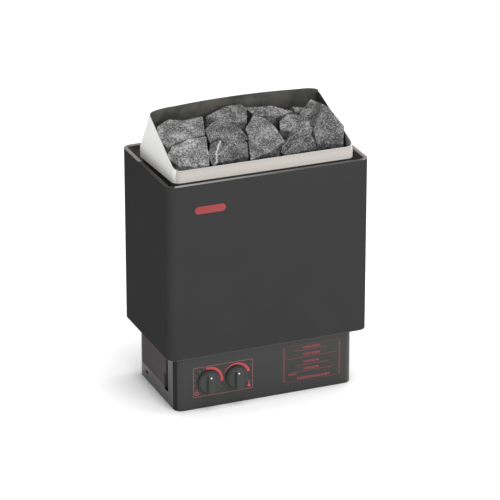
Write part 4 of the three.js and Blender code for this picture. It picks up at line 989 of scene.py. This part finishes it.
@dataclass
class SteamCollar:
    """The stainless collar: a low strip in front, slanted side plates and a hood that leans forward."""

    half: float = 183.0
    front: float = -101.0
    back: float = 82.0
    bottom: float = 459.0
    foot_rise: float = 8.0
    strip_top: float = 491.0
    bend: float = 479.75
    peak: float = 568.2
    radius: float = 14.0
    rear_radius: float = 4.0
    sheet: float = 1.2
    back_lean: float = math.tan(math.radians(22.3))
    side_lean: float = math.tan(math.radians(7.24))
    mouth_slope: float = math.tan(math.radians(21.82))
    corner: float = 46.0
    dark_inside_from: float = -62.0
    arch_drop: float = 5.0

    def station(self, level: float) -> Ring:
        """Returns the outer station at a level."""
        rise = max(0.0, level - self.bend)
        return Ring(self.half - rise * self.side_lean, self.front, self.back - rise * self.back_lean, level)

    def build(self, palette: Palette) -> None:
        """Builds and dresses the collar."""
        roof = self.peak + 12
        levels = (self.bottom, self.bend, roof)
        outer = [self.station(level) for level in levels]
        inner = [ring.inside(self.sheet) for ring in outer]
        shell = folded_tube("steam_collar_shell", [*outer, *reversed(inner)])
        round_corners(shell, self.radius, True)
        round_corners(shell, self.rear_radius, False, 6)
        combine(shell, self.mouth(), Combine.CUT)
        combine(shell, self.arch(), Combine.CUT)
        combine(shell, self.foot(), Combine.CUT)
        with editing(shell):
            bpy.ops.mesh.select_all(action="SELECT")
            bpy.ops.mesh.bisect(plane_co=(0, self.dark_inside_from * MM, 0), plane_no=(0, 1, 0))
        shade(shell)
        self.line(shell, palette)
        palette.dress(shell, "brushed_stainless", "heater", ["steam_collar"])

    def foot(self) -> bpy.types.Object:
        """Returns the tool that lets the lower edge rise towards the front."""
        tool = block("foot", (-220, self.front - 40, self.bottom - 30), (220, self.back + 40, self.bottom + 30))
        slice_off(tool, (0, self.back, self.bottom), (0, self.foot_rise / (self.back - self.front), 1))
        return tool

    def apex(self) -> tuple[float, float]:
        """Returns where the edge of a side plate meets the back panel, as Y and level."""
        mouth_back = self.back - self.sheet / math.cos(math.atan(self.back_lean))
        run = mouth_back + self.back_lean * (self.bend - self.strip_top) - (self.front + self.sheet)
        rise = run * self.mouth_slope / (1 + self.mouth_slope * self.back_lean)
        return self.front + self.sheet + rise / self.mouth_slope, self.strip_top + rise

    def mouth(self) -> bpy.types.Object:
        """Returns the tool that opens the collar above its strip and side plates."""
        y, level = self.apex()
        tool = block("mouth", (-220, self.front - 40, self.strip_top), (220, self.back + 40, self.peak + 60))
        slice_off(tool, (0, y, level), (0, self.mouth_slope, -1))
        slice_off(tool, (0, y, level), (0, 1, self.back_lean))
        return tool

    def arch(self) -> bpy.types.Object:
        """Returns the tool that gives the hood its arched edge and round upper corners."""
        _, level = self.apex()
        half = self.station(level).half
        shoulder = self.peak - self.arch_drop
        front, back = self.front - 60, self.back + 60
        squeeze = (shoulder - level) / self.corner
        keep = block("hood_outline", (-half * squeeze, front, level - 60), (half * squeeze, back, shoulder))
        with editing(keep):
            pick(keep, Kind.EDGE, lambda edge: all(v.co.z > (shoulder - 1) * MM for v in edge.verts)
                 and abs(edge.verts[0].co.y - edge.verts[1].co.y) > 50 * MM)
            bpy.ops.mesh.bevel(offset=(shoulder - level) * MM, segments=12, affect="EDGES")
            bpy.ops.mesh.select_all(action="SELECT")
            bpy.ops.transform.resize(value=(1 / squeeze, 1, 1), center_override=(0, 0, 0))
        flat = half - self.corner
        radius = (flat ** 2 + self.arch_drop ** 2) / (2 * self.arch_drop)
        cap = block("hood_cap", (-flat, front, shoulder - 4), (flat, back, self.peak + 20))
        combine(cap, drum("hood_crown", (0, 0, self.peak - radius), radius, 500, 1440), Combine.KEEP)
        combine(keep, cap, Combine.WELD)
        tool = block("arch", (-230, self.front - 40, level), (230, self.back + 40, self.peak + 50))
        combine(tool, keep, Combine.CUT)
        return tool

    def line(self, shell: bpy.types.Object, palette: Palette) -> None:
        """Gives the faces inside the collar, behind a line near the front, a darker patchy finish; the cut edges that
        face up a darker copy of the steel, as painted shade; the outside of the strip its cross grain in a darker copy
        and the side faces a paler copy, as painted light.
        """
        names = ["brushed_stainless", "dark_patchy_inner_stainless", "cross_brushed_painted_dim_stainless", "side_brushed_painted_bright_stainless",
                 "ground_edge_painted_dim_stainless"]
        for name in names:
            shell.data.materials.append(palette.material(name))
        for face in shell.data.polygons:
            ring = self.station(face.center.z / MM)
            middle = Vector((0, (ring.front + ring.back) / 2 * MM, face.center.z))
            inside = face.normal.dot(middle - face.center) > 0.01
            finish = "brushed_stainless"
            # painted shade: the cut edges that face up and forward get a darker copy of the steel
            if face.normal.z > 0.5 and face.normal.y < -0.2:
                finish = "ground_edge_painted_dim_stainless"
            elif inside and face.center.y > self.dark_inside_from * MM:
                finish = "dark_patchy_inner_stainless"
            # painted light: the outside of the strip gets a darker copy of the steel, and the side faces a paler one
            elif not inside and face.normal.y < -0.7:
                finish = "cross_brushed_painted_dim_stainless"
            elif abs(face.normal.x) > 0.6:
                finish = "side_brushed_painted_bright_stainless"
            face.material_index = names.index(finish)


@dataclass
class Knob:
    """One control knob: skirt, body and grip bar with a white mark."""

    name: str
    body: str
    x: float
    nodes: tuple[str, ...]
    z: float = 54.0
    panel: float = -100.0
    radius: float = 22.0

    def build(self, palette: Palette) -> None:
        """Builds and dresses the knob and its mark."""
        back = self.panel - 0.8
        knob = drum(self.name, (self.x, back - 2, self.z), self.radius, 4, 72)
        with editing(knob):
            pick(knob, Kind.FACE, lambda face: face.normal.y < -0.9)
            bpy.ops.mesh.inset(thickness=2.0 * MM)
            bpy.ops.mesh.extrude_region_move(TRANSFORM_OT_translate={"value": (0, -8 * MM, 0)})
            bpy.ops.transform.resize(value=(0.95, 1, 0.95), center_override=(self.x * MM, (back - 12) * MM, self.z * MM))
        soften(knob, 0.7, 25, 3)
        grip = block("grip", (self.x - 10, back - 18.4, self.z - 19.5), (self.x + 10, back - 3, self.z + 19.5))
        with editing(grip):
            pick(grip, Kind.EDGE, lambda edge: abs(edge.verts[0].co.y - edge.verts[1].co.y) > 5 * MM)
            bpy.ops.mesh.bevel(offset=4.5 * MM, segments=6, affect="EDGES")
            pick(grip, Kind.FACE, lambda face: face.normal.y < -0.9)
            bpy.ops.transform.resize(value=(0.72, 1, 0.95), center_override=(self.x * MM, 0, self.z * MM))
        soften(grip, 1.0, 40, 3)
        combine(knob, grip, Combine.WELD)
        combine(knob, drum("bore", (self.x, back - 4.5, self.z), 3.3, 9.2, 24), Combine.CUT)
        shade(knob)
        self.paint_skirt_light(knob, palette)
        palette.dress(knob, "knob_moulding", self.body, self.nodes)
        mark = drum(f"{self.name}_mark", (self.x - 2.4, back - 18.5, self.z + 14.4), 1.8, 0.5, 24)
        soften(mark, 0.1)
        palette.dress(mark, "white_ink", self.body)

    def paint_skirt_light(self, knob: bpy.types.Object, palette: Palette) -> None:
        """Paints the round sides of the skirt paler: painted light over the shade on them, in place of their rim
        highlight.
        """
        for name in ("knob_moulding", "skirt_painted_light_moulding"):
            knob.data.materials.append(palette.material(name))
        for face in knob.data.polygons:
            reach = math.hypot(face.center.x - self.x * MM, face.center.z - self.z * MM)
            skirt = reach > (self.radius - 3.2) * MM and face.center.y > (self.panel - 12.5) * MM
            face.material_index = int(skirt and abs(face.normal.y) < 0.6)


@dataclass
class PanelPrints:
    """The printed frames, dial scales and signs on the front of the base."""

    face: float = -100.0
    thickness: float = 0.12
    knob_x: tuple[float, float] = (-115.5, -58.5)
    knob_z: float = 54.0

    def build(self, palette: Palette) -> None:
        """Builds and dresses every print."""
        ink = "red_screen_ink"
        frame_line = self.outline("control_frame", (-148, 24), (-25, 86), 1.5, 1.2)
        palette.dress(frame_line, "pale_red_ink", "heater")
        timer = self.band("timer_scale", self.knob_x[0], 29.5, 24.2, -12, 98, (0, 0.4))
        palette.dress(timer, ink, "heater")
        warmth = self.band("warmth_scale", self.knob_x[1], 28.8, 25.2, -62, 74, (-2.5, 0.3))
        palette.dress(warmth, ink, "heater")
        for name, strip in self.notice_frame().items():
            palette.dress(strip, "dull_red_ink", "heater")
        for name, strip in self.notice_rows().items():
            palette.dress(strip, "thin_red_ink", "heater")
        palette.dress(self.ticks(), "pale_red_ink", "heater")
        palette.dress(self.clock_sign(), ink, "heater")
        palette.dress(self.warmth_sign(), ink, "heater")

    def outline(self, name: str, low: tuple[float, float], high: tuple[float, float], corner: float, line: float) -> bpy.types.Object:
        """Draws a rectangular line with round corners.

        Args:
            name: its name.
            low: lower left corner as X and Z in millimetres.
            high: upper right corner.
            corner: radius in millimetres.
            line: width of the line in millimetres.

        Returns:
            The printed line.
        """
        piece = block(name, (low[0], self.face - self.thickness, low[1]), (high[0], self.face - 0.02, high[1]))
        with editing(piece):
            pick(piece, Kind.EDGE, lambda edge: abs(edge.verts[0].co.y - edge.verts[1].co.y) > 0.05 * MM)
            bpy.ops.mesh.bevel(offset=corner * MM, segments=6, affect="EDGES")
            pick(piece, Kind.FACE, lambda face: abs(face.normal.y) > 0.9)
            bpy.ops.mesh.inset(thickness=line * MM)
            bpy.ops.mesh.bridge_edge_loops()
        return piece

    def band(
        self, name: str, x: float, outer: float, inner: float, start: float, end: float, shift: tuple[float, float],
    ) -> bpy.types.Object:
        """Draws a curved band round a knob.

        Args:
            name: its name.
            x: of the knob in millimetres.
            outer: radius of its outer edge.
            inner: radius of its inner edge.
            start: where it begins, in degrees clockwise from the top.
            end: where it ends.
            shift: how far the inner circle lies off the middle, so that the band tapers.

        Returns:
            The printed band.
        """
        piece = drum(name, (x, self.face - self.thickness / 2, self.knob_z), outer, self.thickness - 0.02, 128)
        hole = drum("band_hole", (x + shift[0], self.face, self.knob_z + shift[1]), inner, 4, 128)
        combine(piece, hole, Combine.CUT)
        for angle, side in ((start, -1), (end, 1)):
            turn = math.radians(angle)
            slice_off(piece, (x, self.face, self.knob_z), (side * math.cos(turn), 0, -side * math.sin(turn)))
        return piece

    def stroke(self, name: str, low: tuple[float, float], high: tuple[float, float], corner: float) -> bpy.types.Object:
        """Draws a filled stroke with round corners between two corners given as X and Z."""
        piece = block(name, (low[0], self.face - self.thickness, low[1]), (high[0], self.face - 0.02, high[1]))
        with editing(piece):
            pick(piece, Kind.EDGE, lambda edge: abs(edge.verts[0].co.y - edge.verts[1].co.y) > 0.05 * MM)
            bpy.ops.mesh.bevel(offset=corner * MM, segments=3, affect="EDGES")
        return piece

    def notice_frame(self) -> dict[str, bpy.types.Object]:
        """Returns the four strokes round the blank notice: wide at its sides, fine above and below."""
        left, right, low, high = 37.6, 157.8, 21.5, 97.5
        wide, fine = 3.8, 0.9
        strokes = {
            "notice_side_left": ((left, low + 2), (left + wide, high - 2)),
            "notice_side_right": ((right - wide, low + 2), (right, high - 2)),
            "notice_top": ((left + wide, high - fine), (right - wide, high)),
            "notice_foot": ((left + wide, low), (right - wide, low + fine)),
        }
        return {name: self.stroke(name, *corners, 0.4) for name, corners in strokes.items()}

    def notice_rows(self) -> dict[str, bpy.types.Object]:
        """Returns the rules of the notice and rows of plain bars in place of any wording."""
        rules = {"rule_1": (63, 130, 85.5), "rule_2": (44, 150, 71), "rule_3": (63, 134, 54.5), "rule_4": (58, 141, 41.4)}
        rows = {
            "row_1": (80, 115, 88.6, 4.6), "row_2": (80, 115, 74.4, 4.6), "row_3": (81, 112, 58.6, 4.4),
            "row_4": (81, 115, 44.2, 4.4), "row_5": (49, 67, 35.4, 4.0), "row_6": (67, 135, 24.6, 5.2),
        }
        pieces = {
            name: self.stroke(f"notice_{name}", (left, z - 0.5), (right, z + 0.5), 0.3)
            for name, (left, right, z) in rules.items()
        }
        lengths = (4.6, 6.4, 3.4, 5.4, 7.2)
        for name, (left, right, z, tall) in rows.items():
            bars, x, turn = [], left, 0
            while x < right - 2:
                end = min(right, x + lengths[turn % len(lengths)])
                bars.append(self.stroke(f"notice_{name}", (x, z), (end, z + tall), 0.5))
                x, turn = end + 1.1, turn + 1
            pieces[name] = join(bars)
        return pieces

    def ticks(self) -> bpy.types.Object:
        """Returns the small strokes of the timer's hours, from the end of the band round to the top."""
        x = self.knob_x[0]
        strokes = []
        for step in range(12):
            angle = math.radians(120 + step * 20)
            stroke = block(f"hour_{step}", (-0.5, self.face - self.thickness, 27.5), (0.5, self.face - 0.02, 31.5))
            stroke.rotation_euler = (0, angle, 0)
            stroke.location = (x * MM, 0, self.knob_z * MM)
            activate(stroke)
            strokes.append(settle(f"hour_{step}"))
        piece = join(strokes)
        piece.name = "hour_strokes"
        return piece

    def clock_sign(self) -> bpy.types.Object:
        """Returns a small clock face: a ring with two hands."""
        x, z = -141.0, 32.0
        ring = drum("clock_sign", (x, self.face - self.thickness / 2, z), 4.2, self.thickness - 0.02, 48)
        combine(ring, drum("clock_hole", (x, self.face, z), 3.1, 4, 48), Combine.CUT)
        hands = [
            block("hand_up", (x - 0.4, self.face - self.thickness, z - 0.4), (x + 0.4, self.face - 0.02, z + 2.6)),
            block("hand_side", (x + 0.45, self.face - self.thickness, z - 0.4), (x + 2.0, self.face - 0.02, z + 0.4)),
        ]
        return join([ring, *hands])

    def warmth_sign(self) -> bpy.types.Object:
        """Returns a small upright thermometer: a bulb with a tapered stem."""
        x, z = -33.0, 31.0
        bulb = drum("warmth_sign", (x, self.face - self.thickness / 2, z), 2.9, self.thickness - 0.02, 40)
        stem = block("stem", (x - 1.1, self.face - self.thickness, z + 2), (x + 1.1, self.face - 0.02, z + 11))
        with editing(stem):
            pick(stem, Kind.FACE, lambda face: face.normal.z > 0.9)
            bpy.ops.transform.resize(value=(0.6, 1, 1), center_override=(x * MM, self.face * MM, (z + 11) * MM))
        combine(bulb, stem, Combine.WELD)
        return bulb


@dataclass
class StoneBed:
    """The stones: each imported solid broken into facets, with a rough grain on every face."""

    top: dict[str, str] = field(default_factory=lambda: {
        "stone_left_front": "light_diabase",
        "stone_left_back": "pale_diabase",
        "stone_front_left": "streaked_diabase",
        "stone_middle_left": "dull_diabase",
        "stone_back_left": "grey_diabase",
        "stone_centre": "worn_diabase",
        "stone_front_right": "lined_diabase",
        "stone_middle_right": "grey_diabase",
        "stone_right": "shaded_diabase",
        "stone_back_flat": "grey_diabase",
        "stone_back_small": "grey_diabase",
    })
    lower: tuple[str, ...] = ("stone_row_front", "stone_row_back")
    facets: int = 46
    settled: tuple[str, ...] = ("stone_left_front", "stone_left_back")  # these two lie close together
    row_facets: int = 560
    splits: dict[str, tuple[tuple[float, float, float], tuple[float, float, float]]] = field(default_factory=lambda: {
        "stone_right_rock": ((166, -80, 0), (0.911, -0.411, 0)),
        "stone_left_back_rock": ((-139, 33, 534.5), (-0.03, 0, 1)),
    })  # a point and the normal of the plane that a stone is split along

    def build(self, palette: Palette) -> None:
        """Builds and dresses every stone."""
        for index, (node, finish) in enumerate(self.top.items()):
            stone = carried_over(node, f"{node}_rock")
            self.break_up(stone, index, 2.5, self.facets, 0.22 if node in self.settled else 0.36)
            palette.dress(stone, finish, "heater", [node])
        for index, node in enumerate(self.lower):
            stone = carried_over(node, f"{node}_rock")
            self.break_up(stone, index + len(self.top), 4.0, self.row_facets, 0.5)
            palette.dress(stone, "grey_diabase", "heater", [node])

    def roughen(self, stone: bpy.types.Object, index: int, size: float, depth: float, level: float) -> None:
        """Moves the surface of a stone in and out by a cloud pattern.

        Args:
            stone: the stone.
            index: its number, which varies the size of the pattern.
            size: of the pattern in millimetres.
            depth: between the lowest and the highest places in millimetres.
            level: the share of the pattern that stays put, from nought to one.
        """
        texture = bpy.data.textures.new(f"rock_{index}_{size:.0f}", "CLOUDS")
        texture.noise_scale = size * (1 + 0.06 * (index % 5)) * MM
        texture.noise_depth = 2
        modify(stone, "DISPLACE", texture=texture, strength=depth * MM, mid_level=level)

    def break_up(self, stone: bpy.types.Object, index: int, voxel: float, facets: int, level: float) -> None:
        """Breaks a stone into flat facets with rough faces.

        Args:
            stone: the merged copy of its solid.
            index: its number.
            voxel: size of the working mesh in millimetres.
            facets: about how many facets are left.
            level: the share of the rough pattern that stays put; the lower, the fuller the stone.
        """
        if stone.name in self.splits:
            slice_off(stone, *self.splits[stone.name])
        modify(stone, "REMESH", mode="VOXEL", voxel_size=voxel * MM)
        self.roughen(stone, index, 26.0, 10.0, level)
        modify(stone, "TRIANGULATE")
        modify(stone, "DECIMATE", ratio=facets / len(stone.data.polygons))
        modify(stone, "BEVEL", width=0.8 * MM, segments=1, limit_method="ANGLE", angle_limit=math.radians(14))
        modify(stone, "SUBSURF", subdivision_type="SIMPLE", levels=3, render_levels=3)
        self.roughen(stone, index, 8.0, 1.2, 0.5)
        self.roughen(stone, index, 3.0, 0.8, 0.5)
        shade(stone, 24)


@dataclass
class InnerParts:
    """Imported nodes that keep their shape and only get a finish, and small parts seen from below and behind."""

    finishes: dict[str, tuple[str, ...]] = field(default_factory=lambda: {
        "tempered_steel": ("stone_chamber",),
        "scaled_steel": ("stone_grate", "element_rest"),
        "element_sheath_steel": ("heating_element_1", "heating_element_2", "heating_element_3"),
        "cast_brass": (*(f"element_nut_{i}" for i in range(1, 7)), "earth_stud"),
        "bare_copper": ("link_bar_left", "link_bar_right", "thermostat_sensor", "limiter_sensor"),
        "galvanised_sheet": (
            "base_top_deck", "heat_shield", "timer_shaft", "thermostat_shaft", "sensor_clip_left", "sensor_clip_right",
            "casing_bracket_left", "casing_bracket_right",
        ),
        "phenolic_moulding": ("timer_body", "thermostat_body", "limiter_body"),
        "fired_steatite": ("terminal_block",),
        "nylon_moulding": ("gland_nut",),
        "silicone_sleeve": ("lead_supply_timer", "lead_timer_thermostat", "lead_thermostat_limiter"),
    })
    flat_angle: float = 5.0  # degrees, so that the faces of a sheet with holes stay flat

    def build(self, palette: Palette) -> None:
        """Dresses the inner nodes and rebuilds the small parts that show."""
        for finish, nodes in self.finishes.items():
            for node in nodes:
                palette.repaint(node, finish)
        rack = carried_over("wall_bracket", "wall_rack")
        soften(rack, 0.4)
        shade(rack, self.flat_angle)
        palette.dress(rack, "galvanised_sheet", "heater", ["wall_bracket"])
        cover = carried_over("base_bottom_cover", "floor_cover")
        soften(cover, 0.3)
        shade(cover, self.flat_angle)
        palette.dress(cover, "galvanised_sheet", "heater", ["base_bottom_cover"])
        gland = carried_over("cable_gland", "cord_gland")
        soften(gland, 0.5, 30, 3)
        palette.dress(gland, "nylon_moulding", "heater", ["cable_gland"])
        button = carried_over("reset_button", "reset_key")
        soften(button, 0.6, 40, 3)
        palette.dress(button, "red_button_moulding", "reset", ["reset_button"])
        for index in range(1, 5):
            screw = carried_over(f"cover_screw_{index}", f"cross_screw_{index}")
            low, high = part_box(f"cover_screw_{index}")
            x, y = (low.x + high.x) / 2 / MM, (low.y + high.y) / 2 / MM
            combine(screw, block("slot", (x - 2.6, y - 0.45, -1), (x + 2.6, y + 0.45, 1.3)), Combine.CUT)
            combine(screw, block("slot", (x - 0.45, y - 2.6, -1), (x + 0.45, y + 2.6, 1.3)), Combine.CUT)
            shade(screw)
            palette.dress(screw, "galvanised_sheet", "heater", [f"cover_screw_{index}"])


@dataclass
class Studio:
    """A pale floor, soft light and a camera at the photograph's angle."""

    azimuth: float = -22.32
    elevation: float = 22.60
    distance: float = 6.0
    focal_px: float = 3121.6
    target: tuple[float, float, float] = (0.01011, 0.0, 0.26641)

    def build(self) -> None:
        """Builds the floor, the lights and the camera."""
        self.floor()
        self.sky()
        self.lamp("overhead", (0.4, -0.1, 5.0), 4.0, 260)
        self.lamp("key", (0.9, -3.8, 2.3), 3.0, 100)
        self.camera()

    def floor(self) -> None:
        """Lays a wide pale floor."""
        clear_selection()
        bpy.ops.mesh.primitive_plane_add(size=40, location=(0, 0, -0.0004))
        floor = settle("studio_floor")
        material = bpy.data.materials.new("pale_floor")
        material.use_nodes = True
        shader = material.node_tree.nodes["Principled BSDF"]
        shader.inputs["Base Color"].default_value = (0.97, 0.97, 0.97, 1)
        shader.inputs["Roughness"].default_value = 0.9
        floor.data.materials.append(material)

    def sky(self) -> None:
        """Sets an even pale surround."""
        world = bpy.data.worlds.new("studio_surround")
        world.use_nodes = True
        world.node_tree.nodes["Background"].inputs["Color"].default_value = (1, 1, 1, 1)
        world.node_tree.nodes["Background"].inputs["Strength"].default_value = 0.45
        bpy.context.scene.world = world
        bpy.context.scene.view_settings.view_transform = "Standard"

    def lamp(self, name: str, place: tuple[float, float, float], size: float, power: float) -> None:
        """Adds a soft square lamp that faces the heater.

        Args:
            name: its name.
            place: where it stands, in metres.
            size: its side in metres.
            power: in watts.
        """
        clear_selection()
        bpy.ops.object.light_add(type="AREA", location=place)
        lamp = bpy.context.active_object
        lamp.name = f"{name}_lamp"
        lamp.data.size = size
        lamp.data.energy = power
        lamp.rotation_euler = (Vector(self.target) - Vector(place)).to_track_quat("-Z", "Y").to_euler()

    def camera(self) -> None:
        """Sets the camera."""
        turn, lift = math.radians(self.azimuth), math.radians(self.elevation)
        back = Vector((math.sin(turn) * math.cos(lift), -math.cos(turn) * math.cos(lift), math.sin(lift)))
        clear_selection()
        bpy.ops.object.camera_add(location=Vector(self.target) + back * self.distance)
        camera = bpy.context.active_object
        camera.rotation_euler = (-back).to_track_quat("-Z", "Y").to_euler()
        camera.data.sensor_width = 36.0
        camera.data.lens = self.focal_px * 36.0 / 500
        bpy.context.scene.camera = camera


def main() -> None:
    """Builds the heater's looks piece by piece."""
    logging.basicConfig(level=logging.INFO, format="%(name)s %(message)s")
    palette = Palette(FINISHES)
    Studio().build()
    Jacket().build(palette)
    BaseHousing().build(palette)
    SteamCollar().build(palette)
    Knob("timer_grip", "timer_dial", -115.5, ("timer_knob",)).build(palette)
    Knob("warmth_grip", "thermostat_dial", -58.5, ("thermostat_knob",)).build(palette)
    PanelPrints().build(palette)
    StoneBed().build(palette)
    InnerParts().build(palette)


if __name__ == "__main__":
    main()
